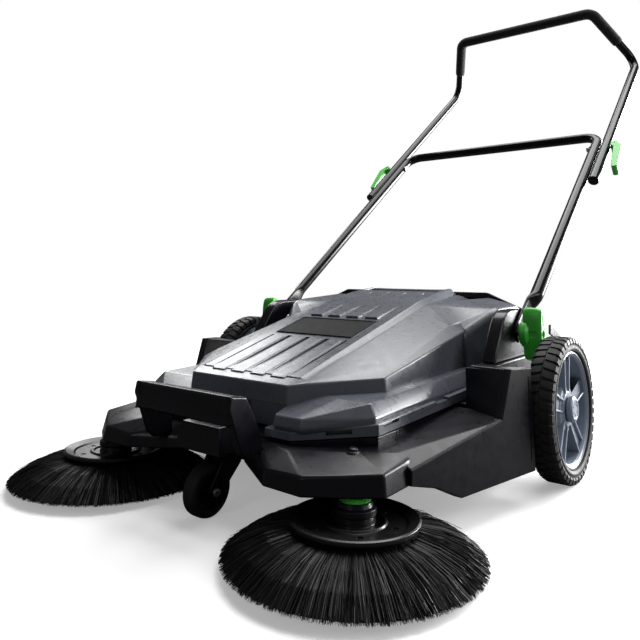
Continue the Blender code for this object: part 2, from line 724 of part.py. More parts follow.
def hood_cuts():
    grip_recess = paired_hull([(0.0920, 0.1500, 0.3200), (0.0880, 0.1560, 0.2720),
                               (0.0880, 0.2200, 0.2720), (0.0920, 0.2200, 0.3200)])
    # centre notch of the front edge, in front of which the latch sits
    notch = box(-CARRY_ARM_IN, CARRY_ARM_IN, -0.3600, -0.3112, 0.1000, 0.1520)
    wide_notch = box(-0.1010, 0.1010, -0.3600, -0.3112, 0.1262, 0.1520)
    lower_inside = paired_hull([
        (0.1180, -0.3020, 0.1000), (0.2145, -0.2450, 0.1000), (0.2145, 0.1900, 0.1000),
        (0.1180, -0.3020, 0.1300), (0.2145, -0.2450, 0.1500), (0.2145, 0.1900, 0.1500)])
    upper_inside = paired_hull([
        (0.0900, -0.3020, 0.1200), (0.1900, -0.2030, 0.1400), (0.1960, 0.1900, 0.1400),
        (0.0900, -0.3020, 0.1710), (0.1870, -0.2030, 0.1760), (0.1950, 0.0300, 0.2200),
        (0.1950, 0.1900, 0.2400), (0.1100, -0.2800, 0.1740), (0.1100, 0.0500, 0.2600),
        (0.1100, 0.1900, 0.2620)])
    return [grip_recess, notch, wide_notch, lower_inside, upper_inside]


def add_hood():
    adds = [hood_nose(), hood_flange(), hood_main(), hood_panel(),
            hood_shoulder(1), hood_shoulder(-1)] + hood_ribs()
    add_part("hood_shell", combine(hood_lip(), adds, hood_cuts()), GREY, "debris_bin")


def add_label():
    """Plate with a bevelled top edge, lying on the centre panel."""
    half_width, edge_height, top_height, bevel = 0.083, 0.0016, 0.0026, 0.0012
    normal = Vector((0, -HOOD_SLOPE, 1)).normalized()
    points = []
    for y, inset_y in ((LABEL_FRONT, bevel), (LABEL_REAR, -bevel)):
        for x, inset_x in ((-half_width, bevel), (half_width, -bevel)):
            base = Vector((x, y, panel_z(y))) + normal * GAP
            inset = Vector((inset_x, inset_y, 0))
            points += [base, base + normal * edge_height, base + normal * top_height + inset]
    add_part("label_plate", hull(points), LABEL, "debris_bin")


def add_bin_grip():
    """Carrying grip across the rear of the hood recess."""
    half_length = 0.0884
    path = [Vector((-half_length + 2 * half_length * k / 6, 0.1985, 0.2900)) for k in range(7)]
    grip = swept(path, [(0.0080, 0.0072, 0.75)] * len(path), 12, UP)
    add_part("bin_grip", grip, GREY, "debris_bin", smooth=True)


def add_bin_tray():
    """Debris tray, open at the top and towards the roller."""
    outside = box(-0.2120, 0.2120, -0.1980, -0.0140, 0.0340, 0.1470)
    inside = box(-0.2090, 0.2090, -0.1950, -0.0170, 0.0370, 0.2000)
    mouth = box(-0.2050, 0.2050, -0.0200, 0.0100, 0.0800, 0.2000)
    add_part("bin_tray", combine(outside, cuts=[inside, mouth]), BLACK, "debris_bin")


def add_bin_latch():
    rear = -0.3115 - GAP
    latch = paired_hull([(0.0280, rear, 0.1290), (0.0280, rear, 0.1490),
                         (0.0280, -0.3165, 0.1490), (0.0280, -0.3185, 0.1460),
                         (0.0260, -0.3185, 0.1290)])
    add_part("bin_latch", latch, BLACK, "bin_latch")


# ------------------------------------------------------------------ handles
# Flattened foot of the lower handle:
# (t along the line, x, half size across, half size along the normal, squareness exponent)
FOOT = [(-0.2130, 0.2831, 0.0028, 0.0100, 0.55),
        (-0.2085, 0.2831, 0.0028, 0.0142, 0.55),
        (-0.2000, 0.2831, 0.0028, 0.0165, 0.55),
        (-0.1240, 0.2831, 0.0028, 0.0165, 0.55),
        (-0.1080, 0.2880, 0.0085, 0.0150, 0.85)]


def add_lower_handle():
    foot = [along(t, x) for t, x, *_ in FOOT]
    foot_sizes = [tuple(size) for _, _, *size in FOOT]
    hoop = fillet([along(LEG_TOP_T, LOWER_X), along(CROSS_T, LOWER_X),
                   along(CROSS_T, -LOWER_X), along(LEG_TOP_T, -LOWER_X)],
                  [LOWER_BEND, LOWER_BEND])
    path = foot + hoop + [mirrored(point) for point in foot][::-1]
    sizes = foot_sizes + round_sizes(TUBE_RADIUS, hoop) + foot_sizes[::-1]
    holes = []
    for side, _ in SIDES:
        holes.append(rod(PIVOT, (side, 0, 0), radius=0.0045, span=(0.27, 0.30)))
        holes.append(rod(FOLD, (side, 0, 0), radius=0.0045, span=(0.27, 0.31)))
    tube = combine(swept(path, sizes, 12, HANDLE_NORMAL), cuts=holes)
    add_part("lower_handle_tube", tube, TUBE, "lower_handle", smooth=True)


UPPER_CORNER = along(BEND_T, UPPER_X)
GRIP_CORNER = (Vector((GRIP_X, UPPER_CORNER.y, UPPER_CORNER.z))
               + Vector((0, math.cos(ARM_ANGLE), math.sin(ARM_ANGLE))) * ARM_LENGTH)


def add_upper_handle():
    path = fillet([along(UPPER_END_T, UPPER_X), UPPER_CORNER, GRIP_CORNER,
                   mirrored(GRIP_CORNER), mirrored(UPPER_CORNER), along(UPPER_END_T, -UPPER_X)],
                  [UPPER_BEND, GRIP_BEND, GRIP_BEND, UPPER_BEND])
    holes = [rod(FOLD, (side, 0, 0), radius=0.0043, span=(0.303, 0.340)) for side, _ in SIDES]
    bar = swept(path, round_sizes(TUBE_RADIUS, path), 12, HANDLE_NORMAL)
    add_part("upper_handle_tube", combine(bar, cuts=holes), TUBE, "upper_handle", smooth=True)


def add_foam_grip():
    start = UPPER_CORNER.lerp(GRIP_CORNER, FOAM_START)
    path = fillet([start, GRIP_CORNER, mirrored(GRIP_CORNER), mirrored(start)],
                  [GRIP_BEND, GRIP_BEND])
    arm_dir = (GRIP_CORNER - UPPER_CORNER).normalized()
    normal = Vector((1, 0, 0)) - arm_dir * arm_dir.x
    add_part("foam_grip", sleeve(path, FOAM_BORE, FOAM_RADIUS, 12, normal), FOAM,
             "upper_handle", smooth=True)


def add_lever_bolt(side, tag):
    """Clamp bolt through both legs, with a cross pin at its outer end."""
    profile = [(0.0, 0.2705), (0.0075, 0.2705), (0.0080, 0.2773), (0.0040, 0.2773),
               (0.0040, 0.3425), (0.0, 0.3425)]
    shaft = lathe(profile, FOLD, (side, 0, 0), 12)
    pin = rod(lever_centre(side), HANDLE_NORMAL, radius=0.0024, span=(-0.0115, 0.0115), segs=10)
    add_part("lever_bolt_" + tag, combine(shaft, [pin]), STEEL, "upper_handle", smooth=True)


# Lever blade outline: (distance from the pin down the handle, distance outboard)
LEVER_BLADE = [(0.0100, -0.0080), (0.0180, 0.0000), (0.0900, 0.0030), (0.0990, 0.0060),
               (0.0990, 0.0130), (0.0930, 0.0180), (0.0180, 0.0190), (0.0080, 0.0130)]


def add_cam_lever(side, tag):
    """Rounded heel around the pin, fork slot, and a blade down along the tube."""
    heel_radius, lean_start = 0.0088, 0.012
    centre = lever_centre(side)
    outward = Vector((side, 0, 0))
    angles = [math.radians(90 + 180 * k / 8) for k in range(9)]
    heel = [(heel_radius * math.cos(angle), heel_radius * math.sin(angle)) for angle in angles]
    outline = [centre - HANDLE_DIR * down + outward * out - HANDLE_NORMAL * (LEVER_WIDTH / 2)
               for down, out in heel + LEVER_BLADE]
    slot = [centre - HANDLE_DIR * down + outward * out + HANDLE_NORMAL * over
            for down in (-0.0200, 0.0062) for out in (-0.0200, 0.0200)
            for over in (-0.0050, 0.0050)]
    pin_hole = rod(centre, HANDLE_NORMAL, radius=0.0028, span=(-0.02, 0.02), segs=10)
    lever = combine(prism(outline, HANDLE_NORMAL * LEVER_WIDTH), cuts=[hull(slot), pin_hole])
    # the blade leans off the line of the tube towards its tip
    for vert in lever.verts:
        reach = (centre - vert.co).dot(HANDLE_DIR)
        if reach > lean_start:
            vert.co -= HANDLE_NORMAL * (LEVER_LEAN * (reach - lean_start))
    add_part("cam_lever_" + tag, lever, GREEN, "cam_lever_" + tag)


def knob_oval(x, half_y, half_z):
    """Sixteen points of a squarish oval around the pivot axis."""
    angles = [2 * math.pi * k / 16 for k in range(16)]
    return [(x, PIVOT.y + half_y * signed_power(math.cos(angle), 0.8),
             PIVOT.z + half_z * signed_power(math.sin(angle), 0.8)) for angle in angles]


def add_clamp_knob(side, tag):
    """Winged knob on a round hub."""
    # (x, half size along Y, half size along Z)
    stations = [(KNOB_IN + 0.004, 0.0120, 0.0430), (KNOB_IN + 0.014, 0.0128, 0.0450),
                (KNOB_OUT - 0.003, 0.0105, 0.0425), (KNOB_OUT, 0.0080, 0.0395)]
    wing = hull([point for x, half_y, half_z in stations
                 for point in knob_oval(side * x, half_y, half_z)])
    profile = [(0.0, KNOB_IN), (0.0215, KNOB_IN), (0.0230, KNOB_IN + 0.003),
               (0.0220, KNOB_IN + 0.011), (0.0160, KNOB_IN + 0.0150), (0.0, KNOB_IN + 0.0150)]
    hub = lathe(profile, PIVOT, (side, 0, 0), 16)
    bore = rod(PIVOT, (side, 0, 0), radius=0.0044, span=(0.280, 0.315))
    add_part("clamp_knob_" + tag, combine(wing, [hub], [bore]), GREEN, "knob_" + tag)


# ------------------------------------------------------------------ rear wheels
def add_tyre(side, tag):
    tread = outer_radius(WHEEL_RADIUS, 32)      # the flats of the tread touch the floor
    bead = RIM_RADIUS + GAP
    profile = [(bead, WHEEL_MID - 0.0175), (0.0960, WHEEL_IN), (0.1070, WHEEL_IN),
               (0.1120, WHEEL_IN + 0.0040), (tread, WHEEL_IN + 0.0100),
               (tread, WHEEL_OUT - 0.0100), (0.1120, WHEEL_OUT - 0.0040),
               (0.1070, WHEEL_OUT), (0.0960, WHEEL_OUT), (bead, WHEEL_MID + 0.0175)]
    tyre = lathe(profile, AXLE, (side, 0, 0), 32, ring=True, phase=0.5)
    add_part("tyre_" + tag, tyre, RUBBER, "wheel_" + tag, smooth=True)


def spoke(side, angle):
    """Tapered spoke, slightly narrower on its outer face."""
    radial = Vector((0, math.cos(angle), math.sin(angle)))
    across = Vector((0, -math.sin(angle), math.cos(angle)))
    points = []
    # (radius, half width, inner x, outer x)
    for radius, half_width, x_in, x_out in ((0.0150, 0.0110, 0.3440, 0.3665),
                                            (0.0850, 0.0150, 0.3460, 0.3690)):
        for offset in (-half_width, half_width):
            middle = Vector(AXLE) + radial * radius
            points += [middle + across * offset + Vector((side * x_in, 0, 0)),
                       middle + across * offset * 0.8 + Vector((side * x_out, 0, 0))]
    return hull(points)


def add_rim(side, tag):
    outward = (side, 0, 0)
    seat = RIM_RADIUS - GAP
    ring_profile = [(0.0830, WHEEL_MID - 0.0165), (seat, WHEEL_MID - 0.0165),
                    (seat, WHEEL_MID + 0.0165), (0.0870, WHEEL_MID + 0.0175),
                    (0.0830, WHEEL_MID + 0.0140)]
    ring = lathe(ring_profile, AXLE, outward, 32, ring=True, phase=0.5)
    hub_profile = [(0.0, WHEEL_IN + 0.0012), (0.0200, WHEEL_IN + 0.0012),
                   (0.0230, WHEEL_IN + 0.0040), (0.0230, 0.3650), (0.0200, HUB_FACE),
                   (0.0, HUB_FACE)]
    adds = [lathe(hub_profile, AXLE, outward, 16)]
    adds += [spoke(side, math.radians(90 + 72 * k)) for k in range(5)]
    bore = rod(AXLE, outward, radius=0.0086, span=(0.3000, 0.3664), segs=16)
    add_part("rim_" + tag, combine(ring, adds, [bore]), RIM_GREY, "wheel_" + tag, smooth=True)


def add_hub_cap(side, tag):
    base = HUB_FACE + GAP
    profile = [(0.0, base), (0.0190, base), (0.0205, 0.3700), (0.0200, 0.3760),
               (0.0160, 0.3785), (0.0, 0.3790)]
    cap = lathe(profile, AXLE, (side, 0, 0), 20)
    add_part("hub_cap_" + tag, cap, RIM_GREY, "wheel_" + tag, smooth=True)


# ------------------------------------------------------------------ gears
def involute(angle):
    return math.tan(angle) - angle


def gear(teeth, centre, phase, bore, flank_points):
    """Involute spur gear on an X axis, with a tooth centred on the angle `phase`."""
    pitch_radius = GEAR_MODULE * teeth / 2
    base_radius = pitch_radius * math.cos(PRESSURE_ANGLE)
    tip_radius = pitch_radius + 0.80 * GEAR_MODULE
    root_radius = pitch_radius - 1.05 * GEAR_MODULE
    half_angle = ((math.pi / 2 - BACKLASH / GEAR_MODULE) / teeth + involute(PRESSURE_ANGLE))
    start_radius = max(base_radius, root_radius)
    flank = []      # (radius, angle from the middle of the tooth)
    for k in range(flank_points):
        radius = start_radius + (tip_radius - start_radius) * k / (flank_points - 1)
        flank.append((radius, half_angle - involute(math.acos(base_radius / radius))))
    if root_radius < base_radius:
        # below the base circle the flank runs almost straight in to the root
        flank.insert(0, (root_radius, flank[0][1] * 1.02))
    polar = []
    for k in range(teeth):
        middle = phase + 2 * math.pi * k / teeth
        polar += [(radius, middle - angle) for radius, angle in flank]
        polar += [(radius, middle + angle) for radius, angle in reversed(flank)]
    outline = [(centre[1] + radius * math.cos(angle), centre[2] + radius * math.sin(angle))
               for radius, angle in polar]
    return combine(yz_prism(outline, GEAR_IN, GEAR_OUT - GEAR_IN),
                   cuts=[rod(centre, (1, 0, 0), bore, span=(0.30, 0.36), segs=16)])


def add_gears():
    """A tooth of the wheel gear faces a gap of the pinion on the line of centres."""
    toward = math.atan2(ROLLER_Z - WHEEL_RADIUS, ROLLER_Y - WHEEL_Y)
    drive = gear(GEAR_TEETH, AXLE, toward, bore=0.0086, flank_points=2)
    add_part("drive_gear", drive, NYLON, "wheel_right")
    pinion = gear(PINION_TEETH, ROLLER, toward + math.pi + math.pi / PINION_TEETH,
                  bore=0.0063, flank_points=3)
    add_part("roller_pinion", pinion, NYLON, "roller")


# ------------------------------------------------------------------ roller brush
def add_roller():
    core = [(0.0, -0.2885), (0.0060, -0.2885), (0.0060, -0.2220), (0.0170, -0.2220),
            (0.0170, 0.2220), (0.0060, 0.2220), (0.0060, 0.3370), (0.0, 0.3370)]
    add_part("roller_core", lathe(core, ROLLER, (1, 0, 0), 16), STEEL, "roller", smooth=True)
    bristles = [(0.0176, -0.2150), (0.0440, -0.2150), (ROLLER_RADIUS, -0.2120),
                (ROLLER_RADIUS, 0.2120), (0.0440, 0.2150), (0.0176, 0.2150)]
    add_part("roller_bristles", lathe(bristles, ROLLER, (1, 0, 0), 28, ring=True), BRISTLE,
             "roller", smooth=True)


# ------------------------------------------------------------------ side brushes
# (radius, height above the bristle plane) profiles
BRISTLE_PROFILE = [(0.0460, 0.0340), (0.0765, 0.0340), (0.1200, 0.0215),
                   (BRUSH_RADIUS, 0.0050), (BRUSH_RADIUS, 0.0), (0.1180, 0.0)]
RING_PROFILE = [(0.0104, 0.0345), (0.0770, 0.0345), (0.0795, 0.0390), (0.0795, 0.0425),
                (0.0770, 0.0438), (0.0650, 0.0400), (0.0620, 0.0376), (0.0400, 0.0376),
                (0.0380, 0.0400), (0.0350, 0.0400), (0.0330, 0.0376), (0.0250, 0.0376),
                (0.0240, 0.0460), (0.0104, 0.0460)]
SPINDLE_PROFILE = [(0.0, 0.0348), (0.0100, 0.0348), (0.0100, 0.0463), (0.0255, 0.0463),
                   (0.0265, 0.0480), (0.0260, 0.0540), (0.0220, 0.0560), (0.0205, 0.0608),
                   (0.0085, 0.0608), (0.0085, 0.0870), (0.0, 0.0870)]
# green collar on the spindle, just under the pod
COLLAR_PROFILE = [(0.0088, 0.0611), (0.0190, 0.0611), (0.0195, 0.0616), (0.0195, 0.0665),
                  (0.0188, 0.0672), (0.0088, 0.0672)]
# (name, profile, segments, closed ring, finish)
BRUSH_PIECES = [("brush_bristles_", BRISTLE_PROFILE, 28, True, BRISTLE),
                ("brush_ring_", RING_PROFILE, 24, True, BLACK),
                ("brush_spindle_", SPINDLE_PROFILE, 16, False, BLACK),
                ("brush_collar_", COLLAR_PROFILE, 20, True, GREEN)]


def add_side_brush(side, tag):
    for name, profile, segs, ring, look in BRUSH_PIECES:
        piece = lathe(profile, brush_centre(side), BRUSH_AXIS, segs, ring)
        add_part(name + tag, piece, look, "side_brush_" + tag, smooth=True)


# ------------------------------------------------------------------ swivel caster
def add_caster_fork():
    """Round plate with its stem, and two cheeks that hold the wheel."""
    plate_profile = [(0.0, 0.0745), (0.0200, 0.0745), (0.0215, 0.0760), (0.0215, 0.0835),
                     (0.0200, 0.0846), (0.0060, 0.0846), (0.0060, 0.1050), (0.0, 0.1050)]
    # (y, z)
    cheek = [(-0.3500, 0.0760), (-0.3120, 0.0760), (-0.3160, 0.0640), (-0.3530, 0.0275),
             (-0.3610, 0.0250), (-0.3700, 0.0280), (-0.3730, 0.0370), (-0.3700, 0.0450)]
    cheeks = [yz_prism(cheek, side * 0.0150, side * 0.0035) for side, _ in SIDES]
    hole = rod(CASTER, (1, 0, 0), radius=0.0034, span=(-0.03, 0.03), segs=10)
    fork = combine(lathe(plate_profile, SWIVEL, UP, 20), cheeks, [hole])
    add_part("caster_fork", fork, BLACK, "caster_fork")


def add_caster_bolt():
    profile = [(0.0, -0.0225), (0.0055, -0.0225), (0.0060, -0.0188), (0.0030, -0.0188),
               (0.0030, 0.0188), (0.0060, 0.0188), (0.0055, 0.0225), (0.0, 0.0230)]
    add_part("caster_axle_bolt", lathe(profile, CASTER, (1, 0, 0), 10), STEEL,
             "caster_fork", smooth=True)


def add_caster_wheel():
    tread = outer_radius(CASTER_RADIUS, 28)
    tyre = [(0.0243, -0.0125), (0.0320, -CASTER_HALF), (tread, -0.0095),
            (tread, 0.0095), (0.0320, CASTER_HALF), (0.0243, 0.0125)]
    add_part("caster_tyre", lathe(tyre, CASTER, (1, 0, 0), 28, ring=True, phase=0.5), RUBBER,
             "caster_wheel", smooth=True)
    hub = [(0.0035, -0.0142), (0.0080, -0.0142), (0.0085, -0.0120), (0.0240, -0.0120),
           (0.0240, 0.0120), (0.0085, 0.0120), (0.0080, 0.0142), (0.0035, 0.0142)]
    add_part("caster_hub", lathe(hub, CASTER, (1, 0, 0), 16, ring=True), BLACK,
             "caster_wheel", smooth=True)


# ------------------------------------------------------------------ assembly
CENTRE_BUILDERS = (
    add_chassis, add_carry_handle, add_rear_cover, add_seal_flap,
    add_hood, add_label, add_bin_grip, add_bin_tray, add_bin_latch,
    add_lower_handle, add_upper_handle, add_foam_grip,
    add_gears, add_roller, add_caster_fork, add_caster_bolt, add_caster_wheel)
SIDE_BUILDERS = (
    add_tower, add_pivot_bolt, add_axle, add_roller_bearing, add_brush_gearbox, add_pod_screw,
    add_lever_bolt, add_cam_lever, add_clamp_knob,
    add_tyre, add_rim, add_hub_cap, add_side_brush)

add_axes()
for build in CENTRE_BUILDERS:
    build()
for side_sign, side_name in SIDES:
    for build in SIDE_BUILDERS:
        build(side_sign, side_name)
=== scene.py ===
"""Visual model of a walk-behind push sweeper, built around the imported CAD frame."""
import json
import math

import bpy
import bmesh
import numpy as np
from mathutils import Matrix, Vector, noise

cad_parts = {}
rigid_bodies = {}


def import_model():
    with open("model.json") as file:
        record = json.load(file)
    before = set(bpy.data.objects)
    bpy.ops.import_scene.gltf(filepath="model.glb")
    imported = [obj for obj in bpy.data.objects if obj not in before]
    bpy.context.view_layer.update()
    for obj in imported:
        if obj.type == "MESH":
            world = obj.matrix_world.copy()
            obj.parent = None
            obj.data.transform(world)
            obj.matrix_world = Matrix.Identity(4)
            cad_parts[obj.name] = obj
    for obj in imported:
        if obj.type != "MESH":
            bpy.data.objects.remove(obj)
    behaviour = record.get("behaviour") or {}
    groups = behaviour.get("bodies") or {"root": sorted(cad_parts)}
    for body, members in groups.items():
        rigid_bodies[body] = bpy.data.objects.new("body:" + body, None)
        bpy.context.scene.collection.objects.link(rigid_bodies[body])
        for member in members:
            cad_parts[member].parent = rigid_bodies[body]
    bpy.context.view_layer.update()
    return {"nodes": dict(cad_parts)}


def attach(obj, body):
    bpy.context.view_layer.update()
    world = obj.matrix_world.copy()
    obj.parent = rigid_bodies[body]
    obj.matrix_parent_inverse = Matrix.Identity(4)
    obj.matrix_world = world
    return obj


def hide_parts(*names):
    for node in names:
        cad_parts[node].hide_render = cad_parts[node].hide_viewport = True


for old in list(bpy.data.objects):
    bpy.data.objects.remove(old, do_unlink=True)

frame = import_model()


# ------------------------------------------------------------------ dimensions (as the CAD)
SH = -0.3067
TUBE_R = 0.0125
TILT = math.radians(36.6)
LINE_Y, LINE_Z = 0.2511, 0.348
LOWER_X, UPPER_X = 0.290, 0.3165
PIVOT_T, FOLD_T = -0.20, 0.50
CROSS_T, BEND_T, UPPER_END_T = 0.5696, 1.0956, 0.33
ARM_ANGLE = math.radians(137.3)
ARM_LEN = 0.2106
GRIP_X = 0.2258
FOAM_R = 0.0165
WHEEL_Y, WHEEL_R = 0.082, 0.114
WHEEL_IN, WHEEL_OUT = 0.335, 0.379
RIM_R = 0.0915
ROLLER_Z, ROLLER_R = 0.052, 0.050
ROLLER_Y = WHEEL_Y - math.sqrt(0.075 ** 2 - (WHEEL_R - ROLLER_Z) ** 2)
BRUSH_X, BRUSH_Y, BRUSH_R = 0.2424, -0.348, 0.1578
BRUSH_TILT = math.radians(2.0)
BRUSH_LIFT = 0.0062
BRUSH_N = (0.0, math.sin(BRUSH_TILT), math.cos(BRUSH_TILT))
SWIVEL_Y, CASTER_Y, CASTER_R = -0.330, -0.363, 0.035
KNOB_IN, KNOB_OUT = 0.2925, 0.3285
ARCH_IN, ARCH_OUT = 0.1175, 0.1340
SCREW_X, SCREW_Y = 0.2189, -0.3172
LEVER_X, LEVER_LEAN = 0.3400, 0.18
NAMES = ((1, "right"), (-1, "left"))


# ------------------------------------------------------------------ materials
def mat_base(name):
    m = bpy.data.materials.new(name)
    m.use_nodes = True
    nt = m.node_tree
    return m, nt, nt.nodes["Principled BSDF"]


def nd(nt, kind, **kw):
    n = nt.nodes.new(kind)
    for k, v in kw.items():
        if k in n.inputs:
            n.inputs[k].default_value = v
        else:
            setattr(n, k, v)
    return n


def coords(nt):
    return nd(nt, "ShaderNodeTexCoord").outputs["Object"]


def noise_of(nt, vec, scale, detail=3.0, rough=0.5):
    n = nd(nt, "ShaderNodeTexNoise")
    n.inputs["Scale"].default_value = scale
    n.inputs["Detail"].default_value = detail
    n.inputs["Roughness"].default_value = rough
    nt.links.new(vec, n.inputs["Vector"])
    return n.outputs["Fac"]


def ramp(nt, fac, stops):
    r = nd(nt, "ShaderNodeValToRGB")
    cr = r.color_ramp
    while len(cr.elements) < len(stops):
        cr.elements.new(0.5)
    for e, (p, c) in zip(cr.elements, stops):
        e.position = p
        e.color = (*c, 1.0) if len(c) == 3 else c
    nt.links.new(fac, r.inputs["Fac"])
    return r.outputs["Color"]


def maprange(nt, fac, a, b, c, d):
    r = nd(nt, "ShaderNodeMapRange")
    for k, v in zip(("From Min", "From Max", "To Min", "To Max"), (a, b, c, d)):
        r.inputs[k].default_value = v
    nt.links.new(fac, r.inputs["Value"])
    return r.outputs["Result"]


def mixc(nt, fac, a, b, mode="MIX"):
    r = nd(nt, "ShaderNodeMix", data_type="RGBA", blend_type=mode)
    if isinstance(fac, float):
        r.inputs["Factor"].default_value = fac
    else:
        nt.links.new(fac, r.inputs["Factor"])
    for sock, v in ((6, a), (7, b)):
        if isinstance(v, tuple):
            r.inputs[sock].default_value = (*v, 1.0)
        else:
            nt.links.new(v, r.inputs[sock])
    return r.outputs[2]


def math_of(nt, op, a, b=0.0):
    r = nd(nt, "ShaderNodeMath", operation=op)
    for i, v in enumerate((a, b)):
        if isinstance(v, (int, float)):
            r.inputs[i].default_value = v
        else:
            nt.links.new(v, r.inputs[i])
    return r.outputs[0]


def bump(nt, bsdf, heights):
    """Chained bump from (height socket, strength, distance)."""
    last = None
    for h, st, dist in heights:
        b = nd(nt, "ShaderNodeBump")
        b.inputs["Strength"].default_value = st
        b.inputs["Distance"].default_value = dist
        nt.links.new(h, b.inputs["Height"])
        if last is not None:
            nt.links.new(last, b.inputs["Normal"])
        last = b.outputs["Normal"]
    nt.links.new(last, bsdf.inputs["Normal"])


def plastic(name, rgb, rough, grain=1500.0, grain_st=0.18, var=0.06, edge_highlight=0.35, spec=0.5, coat=0.0,
            edge_highlight_rgb=None, dust=0.0):
    """Moulded plastic: fine spark-eroded grain, faint flow variation, and lighter edges that are a painted highlight.
    """
    m, nt, b = mat_base(name)
    c = coords(nt)
    big = noise_of(nt, c, 9.0, 4.0, 0.6)
    mid = noise_of(nt, c, 70.0, 3.0, 0.55)
    fine = noise_of(nt, c, grain, 2.0, 0.6)
    dark = tuple(v * (1 - var) for v in rgb)
    light = tuple(min(1.0, v * (1 + var)) for v in rgb)
    col = ramp(nt, big, [(0.30, dark), (0.70, light)])
    col = mixc(nt, maprange(nt, mid, 0.45, 0.75, 0.0, 0.10), col, tuple(min(1.0, v * 1.5 + 0.002) for v in rgb))
    geo = nd(nt, "ShaderNodeNewGeometry")
    # painted highlight: where the mesh is dense at edges the colour turns lighter, standing in for bevel reflections
    edge_highlight_mask = maprange(nt, geo.outputs["Pointiness"], 0.52, 0.60, 0.0, edge_highlight)
    col = mixc(nt, edge_highlight_mask, col, edge_highlight_rgb or tuple(min(1.0, v * 1.9 + 0.012) for v in rgb))
    if dust:
        col = mixc(nt, maprange(nt, noise_of(nt, c, 30.0, 6.0, 0.7), 0.50, 0.80, 0.0, dust), col,
                   (0.16, 0.15, 0.14))
    nt.links.new(col, b.inputs["Base Color"])
    nt.links.new(maprange(nt, mid, 0.3, 0.7, rough - 0.04, rough + 0.05), b.inputs["Roughness"])
    b.inputs["Specular IOR Level"].default_value = spec
    b.inputs["Coat Weight"].default_value = coat
    b.inputs["Coat Roughness"].default_value = 0.12
    bump(nt, b, [(fine, grain_st * 0.3, 0.00006)])
    return m


# each material's edge colour below is a painted highlight along its edges
M = {}
M["grey"] = plastic("hood_plastic", (0.080, 0.088, 0.106), 0.29, 1700.0, 0.03, 0.04, 0.28, 0.55,
                    edge_highlight_rgb=(0.26, 0.28, 0.32))
M["black"] = plastic("body_plastic", (0.0036, 0.0032, 0.0062), 0.30, 1300.0, 0.08, 0.15, 0.14, 0.30,
                     edge_highlight_rgb=(0.022, 0.021, 0.028))
M["green"] = plastic("green_plastic", (0.050, 0.520, 0.042), 0.34, 1900.0, 0.10, 0.05, 0.55, 0.5,
                     edge_highlight_rgb=(0.30, 0.85, 0.22))
M["rim"] = plastic("rim_plastic", (0.215, 0.250, 0.310), 0.33, 1500.0, 0.12, 0.05, 0.5, 0.5,
                   edge_highlight_rgb=(0.40, 0.44, 0.50))
M["ring"] = plastic("ring_plastic", (0.0040, 0.0040, 0.0048), 0.30, 1500.0, 0.10, 0.15, 0.3, 0.45)
M["label"] = plastic("label_film", (0.0040, 0.0040, 0.0048), 0.60, 2500.0, 0.06, 0.10, 0.2, 0.12)
M["nylon"] = plastic("nylon", (0.55, 0.54, 0.50), 0.42, 1200.0, 0.10, 0.05, 0.2, 0.5)


def rubber(name, rgb, rough, dust):
    m, nt, b = mat_base(name)
    c = coords(nt)
    fine = noise_of(nt, c, 900.0, 4.0, 0.65)
    mid = noise_of(nt, c, 55.0, 5.0, 0.6)
    col = ramp(nt, mid, [(0.3, tuple(v * 0.7 for v in rgb)), (0.7, tuple(v * 1.35 for v in rgb))])
    geo = nd(nt, "ShaderNodeNewGeometry")
    # painted highlight: where the mesh is dense at edges the colour turns lighter
    edge_highlight_mask = maprange(nt, geo.outputs["Pointiness"], 0.51, 0.58, 0.0, 0.5)
    col = mixc(nt, edge_highlight_mask, col, tuple(v * 1.8 + 0.003 for v in rgb))
    col = mixc(nt, maprange(nt, noise_of(nt, c, 24.0, 6.0, 0.7), 0.52, 0.85, 0.0, dust), col, (0.12, 0.11, 0.10))
    nt.links.new(col, b.inputs["Base Color"])
    nt.links.new(maprange(nt, mid, 0.3, 0.7, rough - 0.06, rough + 0.08), b.inputs["Roughness"])
    b.inputs["Specular IOR Level"].default_value = 0.35
    bump(nt, b, [(fine, 0.35, 0.0002), (mid, 0.12, 0.0006)])
    return m


M["tyre"] = rubber("tyre_rubber", (0.0085, 0.0082, 0.0092), 0.60, 0.05)
M["screw"] = plastic("screw_black_oxide", (0.004, 0.004, 0.005), 0.34, 1500.0, 0.08, 0.15, 0.5, 0.22,
                     edge_highlight_rgb=(0.10, 0.10, 0.11))
M["flap"] = rubber("flap_rubber", (0.014, 0.014, 0.014), 0.70, 0.15)


def foam():
    m, nt, b = mat_base("grip_foam")
    c = coords(nt)
    vo = nd(nt, "ShaderNodeTexVoronoi")
    vo.inputs["Scale"].default_value = 900.0
    nt.links.new(c, vo.inputs["Vector"])
    fine = noise_of(nt, c, 420.0, 5.0, 0.7)
    mid = noise_of(nt, c, 40.0, 3.0, 0.5)
    col = ramp(nt, fine, [(0.32, (0.004, 0.004, 0.005)), (0.72, (0.014, 0.014, 0.016))])
    nt.links.new(col, b.inputs["Base Color"])
    b.inputs["Roughness"].default_value = 0.88
    b.inputs["Specular IOR Level"].default_value = 0.3
    b.inputs["Sheen Weight"].default_value = 0.08
    b.inputs["Sheen Roughness"].default_value = 0.5
    bump(nt, b, [(vo.outputs["Distance"], 0.5, 0.0005), (fine, 0.4, 0.0004), (mid, 0.15, 0.0008)])
    return m


M["foam"] = foam()


